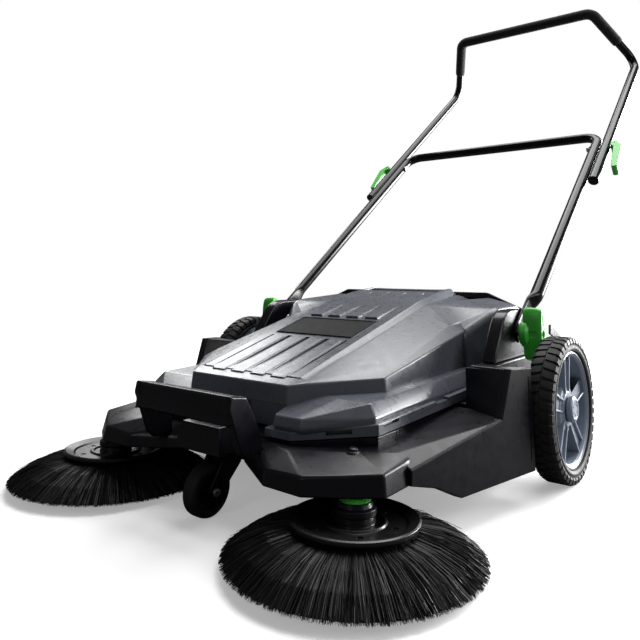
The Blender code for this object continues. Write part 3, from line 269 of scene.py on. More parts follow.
def paint():
    m, nt, b = mat_base("tube_paint")
    c = coords(nt)
    peel = noise_of(nt, c, 260.0, 2.0, 0.5)
    mid = noise_of(nt, c, 30.0, 4.0, 0.6)
    speck = noise_of(nt, c, 1400.0, 1.0, 0.5)
    col = ramp(nt, mid, [(0.3, (0.0018, 0.0018, 0.0022)), (0.7, (0.0032, 0.0031, 0.0038))])
    col = mixc(nt, maprange(nt, speck, 0.70, 0.80, 0.0, 0.06), col, (0.05, 0.05, 0.055))
    nt.links.new(col, b.inputs["Base Color"])
    nt.links.new(maprange(nt, mid, 0.3, 0.7, 0.16, 0.22), b.inputs["Roughness"])
    b.inputs["Specular IOR Level"].default_value = 0.20
    bump(nt, b, [(peel, 0.015, 0.0002)])
    return m


M["tube"] = paint()


def steel():
    m, nt, b = mat_base("zinc_steel")
    c = coords(nt)
    mp = nd(nt, "ShaderNodeMapping")
    mp.inputs["Scale"].default_value = (1.0, 1.0, 14.0)
    nt.links.new(c, mp.inputs["Vector"])
    lines = noise_of(nt, mp.outputs["Vector"], 320.0, 3.0, 0.6)
    blot = noise_of(nt, c, 120.0, 3.0, 0.6)
    col = ramp(nt, blot, [(0.3, (0.46, 0.47, 0.49)), (0.7, (0.66, 0.67, 0.70))])
    nt.links.new(col, b.inputs["Base Color"])
    b.inputs["Metallic"].default_value = 1.0
    nt.links.new(maprange(nt, lines, 0.3, 0.7, 0.22, 0.38), b.inputs["Roughness"])
    bump(nt, b, [(lines, 0.15, 0.0002)])
    return m


M["steel"] = steel()


def bristle():
    """Each filament gets its own shade and gloss."""
    m, nt, b = mat_base("bristle_filament")
    geo = nd(nt, "ShaderNodeNewGeometry")
    rnd = geo.outputs["Random Per Island"]
    col = ramp(nt, rnd, [(0.0, (0.0012, 0.0012, 0.0016)), (0.80, (0.0036, 0.0036, 0.0044)),
                         (0.93, (0.014, 0.015, 0.017)), (1.0, (0.060, 0.060, 0.068))])
    c = coords(nt)
    col = mixc(nt, maprange(nt, noise_of(nt, c, 300.0, 2.0, 0.5), 0.35, 0.75, 0.0, 0.35), col,
               (0.0015, 0.0015, 0.0018))
    nt.links.new(col, b.inputs["Base Color"])
    nt.links.new(maprange(nt, rnd, 0.0, 1.0, 0.55, 0.30), b.inputs["Roughness"])
    b.inputs["Specular IOR Level"].default_value = 0.22
    bump(nt, b, [(noise_of(nt, c, 1200.0, 2.0, 0.5), 0.2, 0.0002)])
    return m


M["bristle"] = bristle()


def core():
    m, nt, b = mat_base("bristle_core")
    c = coords(nt)
    n = noise_of(nt, c, 500.0, 3.0, 0.6)
    nt.links.new(ramp(nt, n, [(0.3, (0.001, 0.001, 0.0012)), (0.7, (0.004, 0.004, 0.0045))]), b.inputs["Base Color"])
    b.inputs["Roughness"].default_value = 0.85
    b.inputs["Specular IOR Level"].default_value = 0.15
    bump(nt, b, [(n, 0.5, 0.001)])
    return m


M["core"] = core()


# ------------------------------------------------------------------ mesh helpers
def V(*a):
    return Vector(a)


def both(points):
    return [V(*p) for p in points] + [V(-p[0], p[1], p[2]) for p in points]


def side(points, s):
    return [V(s * p[0], p[1], p[2]) for p in points]


def soften(bm, width, segs=3, angle=14.0):
    """Rounds every edge sharper than the angle."""
    if width <= 0:
        return bm
    edges = [e for e in bm.edges if len(e.link_faces) == 2 and e.calc_face_angle(0.0) > math.radians(angle)]
    bmesh.ops.bevel(bm, geom=edges, offset=width, offset_type="OFFSET", segments=segs, profile=0.5,
                    affect="EDGES", clamp_overlap=True)
    bmesh.ops.remove_doubles(bm, verts=bm.verts[:], dist=1e-5)
    bmesh.ops.recalc_face_normals(bm, faces=bm.faces[:])
    return bm


def hull(points, r=0.0, segs=3):
    bm = bmesh.new()
    for p in points:
        bm.verts.new(p)
    bm.verts.ensure_lookup_table()
    bmesh.ops.convex_hull(bm, input=bm.verts[:])
    bmesh.ops.delete(bm, geom=[v for v in bm.verts if not v.link_faces], context="VERTS")
    bmesh.ops.dissolve_limit(bm, angle_limit=math.radians(0.6), verts=bm.verts[:], edges=bm.edges[:])
    bmesh.ops.recalc_face_normals(bm, faces=bm.faces[:])
    return soften(bm, r, segs)


def box(x0, x1, y0, y1, z0, z1, r=0.0, segs=3):
    return hull([V(x, y, z) for x in (x0, x1) for y in (y0, y1) for z in (z0, z1)], r, segs)


def prism(outline, vec, r=0.0, segs=3):
    bm = bmesh.new()
    a = [bm.verts.new(p) for p in outline]
    b = [bm.verts.new(Vector(p) + Vector(vec)) for p in outline]
    n = len(a)
    bm.faces.new(a)
    bm.faces.new(b[::-1])
    for i in range(n):
        bm.faces.new((a[i], a[(i + 1) % n], b[(i + 1) % n], b[i]))
    bmesh.ops.recalc_face_normals(bm, faces=bm.faces[:])
    return soften(bm, r, segs)


def frame_of(axis):
    axis = Vector(axis).normalized()
    ref = V(0, 0, 1) if abs(axis.z) < 0.9 else V(1, 0, 0)
    u = (ref - axis * ref.dot(axis)).normalized()
    return axis, u, axis.cross(u)


def lathe(profile, centre, axis, segs, ring=False, phase=0.0):
    axis, u, w = frame_of(axis)
    centre = Vector(centre)
    bm = bmesh.new()
    rows = []
    for r, h in profile:
        c = centre + axis * h
        if r < 1e-7:
            rows.append([bm.verts.new(c)])
        else:
            rows.append([bm.verts.new(c + u * (r * math.cos(2 * math.pi * (k + phase) / segs))
                                      + w * (r * math.sin(2 * math.pi * (k + phase) / segs)))
                         for k in range(segs)])
    pairs = list(zip(rows[:-1], rows[1:]))
    if ring:
        pairs.append((rows[-1], rows[0]))
    for p, q in pairs:
        for k in range(segs):
            j = (k + 1) % segs
            if len(p) == 1 and len(q) == 1:
                continue
            if len(p) == 1:
                bm.faces.new((p[0], q[j], q[k]))
            elif len(q) == 1:
                bm.faces.new((p[k], p[j], q[0]))
            else:
                bm.faces.new((p[k], p[j], q[j], q[k]))
    if not ring:
        for row in (rows[0], rows[-1]):
            if len(row) > 1:
                bm.faces.new(row)
    bmesh.ops.recalc_face_normals(bm, faces=bm.faces[:])
    return bm


def rod(centre, axis, r, a, b, segs=24, chamfer=0.0):
    if chamfer:
        return lathe([(0.0, a), (r - chamfer, a), (r, a + chamfer), (r, b - chamfer), (r - chamfer, b), (0.0, b)],
                     centre, axis, segs)
    return lathe([(r, a), (r, b)], centre, axis, segs)


def rounded(profile, radius, steps=4, closed=False):
    """A turned profile with its corners rounded."""
    pts = [Vector((p[0], p[1])) for p in profile]
    n = len(pts)
    out = []
    for i, p in enumerate(pts):
        if not closed and i in (0, n - 1):
            out.append((p.x, p.y))
            continue
        a, b = pts[i - 1], pts[(i + 1) % n]
        da, db = (a - p), (b - p)
        la, lb = da.length, db.length
        if la < 1e-9 or lb < 1e-9:
            out.append((p.x, p.y))
            continue
        da, db = da / la, db / lb
        ang = math.acos(max(-1, min(1, da.dot(db))))
        if ang > math.radians(172):
            out.append((p.x, p.y))
            continue
        d = min(radius / math.tan(ang / 2), 0.45 * la, 0.45 * lb)
        s, e = p + da * d, p + db * d
        for k in range(steps + 1):
            t = k / steps
            q = s * (1 - t) ** 2 + p * 2 * t * (1 - t) + e * t ** 2
            out.append((max(q.x, 0.0), q.y))
    return out


def fillet(points, radii, steps):
    out = [Vector(points[0])]
    for i in range(1, len(points) - 1):
        p, a, b = Vector(points[i]), Vector(points[i - 1]), Vector(points[i + 1])
        da, db = (a - p).normalized(), (b - p).normalized()
        r = radii[i - 1]
        half = da.angle(db) / 2
        d = r / math.tan(half)
        centre = p + (da + db).normalized() * (r / math.sin(half))
        s, e = p + da * d - centre, p + db * d - centre
        turn = s.angle(e)
        axis = s.cross(e).normalized()
        for k in range(steps + 1):
            out.append(centre + Matrix.Rotation(turn * k / steps, 3, axis) @ s)
    out.append(Vector(points[-1]))
    return out


def section_rings(bm, path, sizes, segs, n0):
    n = Vector(n0)
    rings = []
    last = None
    for i, p in enumerate(path):
        if i == 0:
            t = (path[1] - path[0]).normalized()
        elif i == len(path) - 1:
            t = (path[-1] - path[-2]).normalized()
        else:
            t = ((path[i + 1] - p).normalized() + (p - path[i - 1]).normalized()).normalized()
        if last is not None:
            n = last.rotation_difference(t) @ n
        n = (n - t * n.dot(t)).normalized()
        m = n.cross(t)
        a, b, e = sizes[i] if isinstance(sizes, list) else sizes
        row = []
        for k in range(segs):
            ang = 2 * math.pi * (k + 0.5) / segs
            c, s = math.cos(ang), math.sin(ang)
            c = math.copysign(abs(c) ** e, c)
            s = math.copysign(abs(s) ** e, s)
            row.append(bm.verts.new(p + m * (a * c) + n * (b * s)))
        rings.append(row)
        last = t
    return rings


def skin(bm, rings):
    for p, q in zip(rings[:-1], rings[1:]):
        n = len(p)
        for k in range(n):
            j = (k + 1) % n
            bm.faces.new((p[k], p[j], q[j], q[k]))


def swept(path, sizes, segs, n0):
    bm = bmesh.new()
    rings = section_rings(bm, path, sizes, segs, n0)
    skin(bm, rings)
    bm.faces.new(rings[0][::-1])
    bm.faces.new(rings[-1])
    bmesh.ops.recalc_face_normals(bm, faces=bm.faces[:])
    return bm


def sleeve(path, r_in, r_out, segs, n0):
    """Hollow sleeve; r_out may be a list that follows the path."""
    bm = bmesh.new()
    outs = r_out if isinstance(r_out, list) else [r_out] * len(path)
    outer = section_rings(bm, path, [(r, r, 1.0) for r in outs], segs, n0)
    inner = section_rings(bm, path, (r_in, r_in, 1.0), segs, n0)
    skin(bm, outer)
    skin(bm, inner)
    for o, i in ((outer[0], inner[0]), (outer[-1], inner[-1])):
        for k in range(segs):
            j = (k + 1) % segs
            bm.faces.new((o[k], o[j], i[j], i[k]))
    bmesh.ops.recalc_face_normals(bm, faces=bm.faces[:])
    return bm


def scratch(bm, name="cutter"):
    me = bpy.data.meshes.new(name)
    bm.to_mesh(me)
    bm.free()
    ob = bpy.data.objects.new(name, me)
    bpy.context.scene.collection.objects.link(ob)
    return ob


def combine(base, adds=(), cuts=()):
    ob = scratch(base, "blank")
    tools = []
    for kind, group in (("UNION", adds), ("DIFFERENCE", cuts)):
        for bm in group:
            t = scratch(bm)
            tools.append(t)
            mod = ob.modifiers.new("bool", "BOOLEAN")
            mod.operation = kind
            mod.solver = "EXACT"
            mod.object = t
    bpy.context.view_layer.update()
    deps = bpy.context.evaluated_depsgraph_get()
    me = bpy.data.meshes.new_from_object(ob.evaluated_get(deps))
    out = bmesh.new()
    out.from_mesh(me)
    bpy.data.meshes.remove(me)
    for t in tools + [ob]:
        bpy.data.objects.remove(t, do_unlink=True)
    bmesh.ops.dissolve_limit(out, angle_limit=math.radians(0.1), verts=out.verts[:], edges=out.edges[:])
    bmesh.ops.recalc_face_normals(out, faces=out.faces[:])
    return out


def piece(name, bm, mat, body, replaces=(), angle=38.0, weighted=True):
    """Places a visual piece in the row frame, on its body, in place of its CAD node."""
    bmesh.ops.translate(bm, verts=bm.verts[:], vec=V(0, SH, 0))
    me = bpy.data.meshes.new("vis_" + name)
    bm.to_mesh(me)
    bm.free()
    ob = bpy.data.objects.new("vis_" + name, me)
    bpy.context.scene.collection.objects.link(ob)
    me.materials.append(mat if not isinstance(mat, str) else M[mat])
    me.shade_smooth()
    me.set_sharp_from_angle(angle=math.radians(angle))
    if weighted:
        w = ob.modifiers.new("normals", "WEIGHTED_NORMAL")
        w.keep_sharp = True
        w.weight = 60
    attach(ob, body)
    if replaces:
        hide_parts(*replaces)
    return ob


def array_piece(name, verts, faces, mat, body, replaces=(), smooth=True):
    co = np.array(verts, dtype=np.float64).reshape(-1, 3)
    co[:, 1] += SH
    me = bpy.data.meshes.new("vis_" + name)
    me.from_pydata(co.tolist(), [], faces)
    me.update()
    ob = bpy.data.objects.new("vis_" + name, me)
    bpy.context.scene.collection.objects.link(ob)
    me.materials.append(M[mat])
    if smooth:
        me.shade_smooth()
    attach(ob, body)
    if replaces:
        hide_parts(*replaces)
    return ob


def keep(node, mat, smooth=True):
    """A CAD node whose shape is right: only its material changes."""
    ob = frame["nodes"][node]
    for i in range(max(1, len(ob.material_slots))):
        if ob.material_slots:
            ob.material_slots[i].link = "OBJECT"
            ob.material_slots[i].material = M[mat]
    return ob


def along(t, x, off=0.0):
    c, s = math.cos(TILT), math.sin(TILT)
    return V(x, LINE_Y + t * c - off * s, LINE_Z + t * s + off * c)


HD = V(0, math.cos(TILT), math.sin(TILT))
HW = V(0, -math.sin(TILT), math.cos(TILT))
PIVOT = along(PIVOT_T, 0)
FOLD = along(FOLD_T, 0)


# ------------------------------------------------------------------ hood and debris bin
SLOPE = 0.27


def top_z(y):
    return 0.2260 + SLOPE * (y + 0.1345)


def hood():
    lip = hull(both([(0.2375, -0.2860, 0.1255), (0.2425, 0.0400, 0.1340), (0.2425, 0.2070, 0.1384),
                     (0.2375, -0.2860, 0.1400), (0.2425, 0.0400, 0.1490), (0.2425, 0.2070, 0.1490)]), 0.0012, 2)
    nose = hull(both([(0.1330, -0.3400, 0.1145), (0.2375, -0.2850, 0.1255), (0.1330, -0.3400, 0.1250),
                      (0.2375, -0.2850, 0.1400)]), 0.0012, 2)
    flange = hull(both([(0.1480, -0.3395, 0.1310), (0.2315, -0.2840, 0.1460), (0.2325, 0.0300, 0.1500),
                        (0.2325, 0.2070, 0.1500), (0.1480, -0.3350, 0.1435), (0.2180, -0.2750, 0.1625),
                        (0.2200, 0.0270, 0.1713), (0.2200, 0.2070, 0.1713),
                        (0.1480, -0.3350, 0.1240), (0.2300, -0.2840, 0.1360), (0.2320, 0.2070, 0.1420)]), 0.0020, 3)
    main = hull(both([(0.1005, -0.3110, 0.1775), (0.1955, -0.2050, 0.1830), (0.2050, 0.0300, 0.2290),
                      (0.2050, 0.2070, 0.2550), (0.1750, -0.1900, 0.1960), (0.1850, 0.0200, 0.2420),
                      (0.1160, -0.2880, 0.1810), (0.1160, 0.0700, 0.2720), (0.1160, 0.2070, 0.2860),
                      (0.1020, -0.3140, 0.1400), (0.2010, -0.2070, 0.1550), (0.2070, 0.0350, 0.1550),
                      (0.2070, 0.2070, 0.1550)]), 0.0022, 3)
    panel = hull(both([(0.1020, -0.2860, top_z(-0.286)), (0.1020, 0.0700, top_z(0.07)),
                       (0.1000, 0.1450, 0.2930), (0.0970, 0.2070, 0.2985),
                       (0.1150, -0.2800, 0.1800), (0.1150, 0.0740, 0.2700), (0.1120, 0.1450, 0.2780),
                       (0.1100, 0.2070, 0.2850), (0.1000, -0.2860, 0.1700), (0.1000, 0.2070, 0.2600)]), 0.0014, 3)
    adds = [nose, flange, main, panel]
    for s in (1, -1):
        adds.append(hull(side([
            (0.1070, 0.1230, 0.2750), (0.2050, 0.0300, 0.2285), (0.2050, 0.0350, 0.1500),
            (0.1840, 0.1550, 0.2800), (0.2456, 0.0960, 0.2690), (0.2500, 0.0500, 0.1500),
            (0.1840, 0.2070, 0.2830), (0.2456, 0.2070, 0.2690), (0.2500, 0.2070, 0.1500),
            (0.1070, 0.2070, 0.2750), (0.1900, 0.2070, 0.1500)], s), 0.0100, 6))
    for k in range(4):
        cx = 0.042 * (k - 1.5)
        for y0, y1, h0, h1 in ((-0.292, -0.1500, 0.0006, 0.0016), (-0.0450, 0.1280, 0.0040, 0.0040)):
            pts = []
            for y, h in ((y0, h0), (y1, h1)):
                z = top_z(min(y, 0.07)) + 0.12 * max(0.0, y - 0.07)
                pts += [V(cx - 0.0155, y, z - 0.004), V(cx + 0.0155, y, z - 0.004),
                        V(cx - 0.0130, y, z + h), V(cx + 0.0130, y, z + h)]
            adds.append(hull(pts, 0.0010, 2))
    cuts = [
        hull([V(x * sx, y, z) for sx in (1, -1) for x, y, z in (
            (0.0920, 0.1500, 0.3200), (0.0880, 0.1560, 0.2720), (0.0880, 0.2200, 0.2720),
            (0.0920, 0.2200, 0.3200))], 0.003, 3),
        box(-0.0868, 0.0868, -0.3600, -0.3112, 0.1000, 0.1520),
        box(-0.1010, 0.1010, -0.3600, -0.3112, 0.1262, 0.1520),
        hull(both([(0.1180, -0.3020, 0.1000), (0.2145, -0.2450, 0.1000), (0.2145, 0.1900, 0.1000),
                   (0.1180, -0.3020, 0.1300), (0.2145, -0.2450, 0.1500), (0.2145, 0.1900, 0.1500)])),
        hull(both([(0.0900, -0.3020, 0.1200), (0.1900, -0.2030, 0.1400), (0.1960, 0.1900, 0.1400),
                   (0.0900, -0.3020, 0.1710), (0.1870, -0.2030, 0.1760), (0.1950, 0.0300, 0.2200),
                   (0.1950, 0.1900, 0.2400), (0.1100, -0.2800, 0.1740), (0.1100, 0.0500, 0.2600),
                   (0.1100, 0.1900, 0.2620)])),
    ]
    # valleys between the front ribs, deeper towards the label
    for x0, x1 in ((-0.0840, -0.0790), (-0.0470, -0.0370), (-0.0050, 0.0050), (0.0370, 0.0470), (0.0790, 0.0840)):
        pts = []
        for y, d in ((-0.2880, 0.0), (-0.1440, 0.0056)):
            z = top_z(y)
            pts += [V(x0, y, z + 0.004), V(x1, y, z + 0.004), V(x0 + 0.0006, y, z - d), V(x1 - 0.0006, y, z - d)]
        cuts.append(hull(pts, 0.0006, 2))
    # shallow frame around the label
    up = V(0, -SLOPE, 1).normalized()
    rim = []
    for y in (-0.1375, -0.0540):
        for x in (-0.0860, 0.0860):
            rim += [V(x, y, top_z(y)) - up * 0.0012, V(x, y, top_z(y)) + up * 0.01]
    cuts.append(hull(rim))
    plate = []
    for y in (-0.1362, -0.0553):
        for x in (-0.0848, 0.0848):
            plate += [V(x, y, top_z(y)) - up * 0.004, V(x, y, top_z(y)) + up * 0.0001]
    HOOD_LATE.append(hull(plate, 0.0004, 1))
    for s in (1, -1):
        # drainage slots in the lip
        for y0, y1, dz in ((-0.2746, -0.2370, 0.0), (-0.1313, -0.0956, 0.0030)):
            cuts.append(hull([V(s * x, y, z + dz + 0.0300 * (y + 0.2746) * 0.6) for x in (0.2320, 0.2500) for y in (y0, y1)
                              for z in (0.1352, 0.1394)], 0.0010, 2))
        a, b = V(s * 0.1744, -0.3175, 0.1262), V(s * 0.2061, -0.3010, 0.1300)
        t = (b - a).normalized()
        n = V(t.y * s, -t.x * s, 0).normalized()
        cuts.append(hull([p + n * d + V(0, 0, h) for p in (a, b) for d in (-0.009, 0.008) for h in (-0.0030, 0.0030)],
                         0.0008, 2))
    return combine(combine(lip, adds, cuts), [HOOD_LATE.pop()])


HOOD_LATE = []
piece("hood", hood(), "grey", "debris_bin", ("hood_shell",))

up = V(0, -SLOPE, 1).normalized()
lab = []
for y in (-0.1345, -0.0570):
    for x in (-0.083, 0.083):
        base = V(x, y, top_z(y)) + up * 0.0003
        inset = V(-math.copysign(0.0012, x), 0.0012 if y < -0.1 else -0.0012, 0)
        lab += [base, base + up * 0.0012, base + up * 0.0022 + inset]
inner = []
for y in (-0.1300, -0.0615):
    for x in (-0.0785, 0.0785):
        base = V(x, y, top_z(y))
        inner += [base + up * 0.0018, base + up * 0.0040]
piece("label", combine(hull(lab, 0.0004, 2), (), [hull(inner, 0.0004, 1)]), "label", "debris_bin", ("label_plate",))

grip_path = [V(-0.0884 + 0.1768 * k / 40, 0.1985, 0.2900) for k in range(41)]
grip_sizes = []
for k in range(41):
    f = abs(k - 20) / 20
    swell = 1.0 - 0.10 * (1 - f ** 4)
    grip_sizes.append((0.0080 * swell, 0.0072 * swell, 0.75))
piece("grip_bar", swept(grip_path, grip_sizes, 28, (0, 0, 1)), "grey", "debris_bin", ("bin_grip",))

piece("tray", combine(
    box(-0.2120, 0.2120, -0.1980, -0.0140, 0.0340, 0.1470, 0.003), (),
    [box(-0.2090, 0.2090, -0.1950, -0.0170, 0.0370, 0.2000, 0.002),
     box(-0.2050, 0.2050, -0.0200, 0.0100, 0.0800, 0.2000)]), "black", "debris_bin", ("bin_tray",))

latch_cuts = [box(-0.0200 + 0.0080 * k, -0.0160 + 0.0080 * k, -0.3230, -0.3178, 0.1310, 0.1420, 0.0006, 2)
              for k in range(6)]
piece("latch", combine(
    hull(both([(0.0280, -0.3118, 0.1290), (0.0280, -0.3118, 0.1490), (0.0280, -0.3165, 0.1490),
               (0.0280, -0.3185, 0.1460), (0.0260, -0.3185, 0.1290)]), 0.0008, 3), (), latch_cuts),
    "black", "bin_latch", ("bin_latch",))

# ------------------------------------------------------------------ chassis
ARM = [(-0.4170, 0.1790), (-0.3885, 0.1745), (-0.3765, 0.1547), (-0.3560, 0.1144),
       (-0.3560, 0.1000), (-0.3850, 0.0945), (-0.3960, 0.1040), (-0.4200, 0.1630)]


def arm(s, grow=0.0, r=0.0):
    cy = sum(p[0] for p in ARM) / len(ARM)
    cz = sum(p[1] for p in ARM) / len(ARM)
    pts = []
    for y, z in ARM:
        d = Vector((y - cy, z - cz))
        d = d * (1 + grow / d.length)
        pts.append(V(s * (0.0868 - grow), cy + d.x, cz + d.y))
    return prism(pts, (s * (0.0132 + 2 * grow), 0, 0), r)


def fender_x(y):
    return 0.290 + 0.2420 * (y + 0.292)


def chassis():
    adds, cuts = [], []
    deck = hull(both([(0.131, -0.336, 0.1125), (0.2345, -0.283, 0.1235), (0.2360, -0.215, 0.1245),
                      (0.131, -0.336, 0.0850), (0.2345, -0.283, 0.0850), (0.2360, -0.215, 0.0850)]), 0.0012, 2)
    adds.append(hull(both([(0.2360, -0.240, 0.1242), (0.2386, 0.040, 0.1322), (0.2386, 0.2085, 0.1322),
                           (0.2360, -0.240, 0.0600), (0.2386, 0.040, 0.0560), (0.2386, 0.2085, 0.0560)]), 0.0012, 2))
    adds.append(hull(both([(0.038, -0.3800, 0.1250), (0.047, -0.3860, 0.0895), (0.047, -0.3220, 0.0895),
                           (0.038, -0.3220, 0.1250)]), 0.002, 3))
    for s, tag in NAMES:
        adds.append(hull(side([
            (0.0494, -0.3428, 0.0750), (0.1389, -0.3985, 0.0750), (0.2012, -0.4005, 0.0750),
            (0.2424, -0.3758, 0.0750), (0.2851, -0.3437, 0.0750), (0.2852, -0.2895, 0.0750),
            (0.2852, -0.2200, 0.0750), (0.0500, -0.2200, 0.0860),
            (0.0530, -0.3405, 0.0900), (0.1405, -0.3950, 0.0940), (0.1990, -0.3965, 0.0970),
            (0.2385, -0.3720, 0.0990), (0.2805, -0.3410, 0.1010), (0.2820, -0.2920, 0.1045),
            (0.2650, -0.2350, 0.1150), (0.2500, -0.3050, 0.1120), (0.1500, -0.3620, 0.1110),
            (0.0700, -0.3330, 0.1100), (0.2400, -0.2200, 0.1150), (0.0500, -0.2200, 0.1105)], s), 0.0034, 4))
        adds.append(lathe(rounded([(0.0, 0.1000), (0.0125, 0.1000), (0.0118, 0.1105), (0.0090, 0.1130), (0.0, 0.1130)],
                                  0.0012), (s * SCREW_X, SCREW_Y, 0), (0, 0, 1), 40))
        adds.append(hull(side([
            (0.2400, -0.2900, 0.1080), (0.2620, -0.2900, 0.1100), (0.2900, -0.2920, 0.0950),
            (0.2900, -0.2920, 0.0767), (0.2400, -0.2900, 0.0767),
            (0.2650, -0.2350, 0.1155), (0.2300, -0.2350, 0.1160),
            (0.2990, -0.0720, 0.1290), (0.2300, -0.0720, 0.1270), (fender_x(-0.112), -0.1120, 0.1270),
            (fender_x(-0.201) - 0.003, -0.2010, 0.0520), (fender_x(-0.080) - 0.002, -0.0800, 0.0500),
            (0.2300, -0.0800, 0.0500), (0.2300, -0.2010, 0.0520)], s), 0.0016, 3))
        skirt = [(-0.2920, 0.0950), (-0.1120, 0.1270), (-0.0870, 0.1945), (-0.0370, 0.1915),
                 (-0.0370, 0.0445), (-0.2010, 0.0430), (-0.2490, 0.0660), (-0.2925, 0.0767)]
        adds.append(prism([V(s * fender_x(y), y, z) for y, z in skirt], (-s * 0.0120, 0, 0), 0.0014))
        # raised bead along the top edge of the skirt
        bead = []
        for y, z in ((-0.2900, 0.0952), (-0.1140, 0.1266)):
            x = fender_x(y)
            bead += [V(s * (x - 0.0040), y, z - 0.0020), V(s * (x - 0.0010), y, z - 0.0020),
                     V(s * (x - 0.0040), y, z + 0.0022), V(s * (x - 0.0018), y, z + 0.0022)]
        adds.append(hull(bead, 0.0008, 2))
        adds.append(hull(side([
            (0.2550, -0.0450, 0.1880), (0.3000, -0.0700, 0.1290), (fender_x(-0.112) - 0.0005, -0.1120, 0.1268),
            (fender_x(-0.087) - 0.0005, -0.0870, 0.1940), (fender_x(-0.0375) - 0.0005, -0.0375, 0.1910),
            (fender_x(-0.0375) - 0.0005, -0.0375, 0.0480), (0.3250, -0.1100, 0.0480),
            (0.2550, -0.0375, 0.1885), (0.2550, -0.0375, 0.0480), (0.2550, -0.1000, 0.0480)], s), 0.0020, 3))
        arch = []
        for k in range(41):
            a = math.radians(76 - 64 * k / 40)
            arch.append((WHEEL_Y + ARCH_OUT * math.cos(a), WHEEL_R + ARCH_OUT * math.sin(a)))
        for k in range(41):
            a = math.radians(12 + 64 * k / 40)
            arch.append((WHEEL_Y + ARCH_IN * math.cos(a), WHEEL_R + ARCH_IN * math.sin(a)))
        adds.append(prism([V(s * 0.3297, y, z) for y, z in arch], (s * 0.0046, 0, 0), 0.0010, 2))
        adds.append(box(*sorted((s * 0.2800, s * 0.3343)), 0.2010, 0.2085, 0.1000, 0.1500, 0.0015))
        adds.append(box(*sorted((s * 0.2262, s * 0.2860)), -0.0600, 0.2085, 0.0380, 0.1310, 0.0015))
        adds.append(hull(side([
            (0.2528, -0.0600, 0.1200), (0.2860, -0.0600, 0.1200), (0.2528, -0.0600, 0.1860),
            (0.2860, -0.0600, 0.1860), (0.2528, 0.1500, 0.1860), (0.2860, 0.1500, 0.1860),
            (0.2528, 0.2080, 0.1300), (0.2860, 0.2080, 0.1300), (0.2528, 0.2080, 0.1200),
            (0.2860, 0.2080, 0.1200)], s), 0.0016))
        cuts.append(hull(side([
            (0.0700, -0.3430, 0.0700), (0.1420, -0.3900, 0.0700), (0.1990, -0.3915, 0.0700),
            (0.2385, -0.3690, 0.0700), (0.2790, -0.3390, 0.0700), (0.2790, -0.3000, 0.0700),
            (0.0700, -0.3000, 0.0700),
            (0.0740, -0.3400, 0.0850), (0.1430, -0.3860, 0.0880), (0.1970, -0.3875, 0.0900),
            (0.2360, -0.3650, 0.0920), (0.2740, -0.3370, 0.0940), (0.2740, -0.3040, 0.0960),
            (0.0740, -0.3040, 0.0880)], s)))
        cuts.append(rod((s * BRUSH_X, BRUSH_Y, BRUSH_LIFT), BRUSH_N, 0.0135, 0.0640, 0.0925, 36))
        # upright groove at the rear of the mudguard
        gx = fender_x(-0.0465)
        cuts.append(hull([V(s * (gx + d), y, z) for d, w in ((-0.0022, 0.0006), (0.004, 0.0022))
                          for y in (-0.0465 - w, -0.0465 + w) for z in (0.0600, 0.1800)]))
        cuts.append(rod((0, WHEEL_Y, WHEEL_R), (s, 0, 0), 0.0084, 0.2100, 0.3000, 32))
        cuts.append(rod((0, ROLLER_Y, ROLLER_Z), (s, 0, 0), 0.0105, 0.2100, 0.3000, 32))
        cuts.append(rod((s * SCREW_X, SCREW_Y, 0), (0, 0, 1), 0.0034, 0.1050, 0.1300, 20))
        cuts.append(arm(s, 0.0004))
    adds.append(box(-0.2860, 0.2860, 0.1181, 0.2085, 0.0450, 0.1308, 0.0015))
    cuts.append(box(-0.2250, 0.2250, -0.2050, 0.1180, 0.0100, 0.2000))
    cuts.append(rod((0, SWIVEL_Y, 0), (0, 0, 1), 0.0064, 0.0600, 0.1070, 28))
    return combine(deck, adds, cuts)


piece("chassis", chassis(), "black", "chassis", ("chassis_shell",))

piece("carry_handle", combine(
    hull(both([(0.0990, -0.4165, 0.1788), (0.0990, -0.3888, 0.1743), (0.0990, -0.4192, 0.1410),
               (0.0990, -0.3980, 0.1400)]), 0.0060, 5), [arm(1, 0, 0.0030), arm(-1, 0, 0.0030)]),
    "black", "chassis", ("front_carry_handle",))

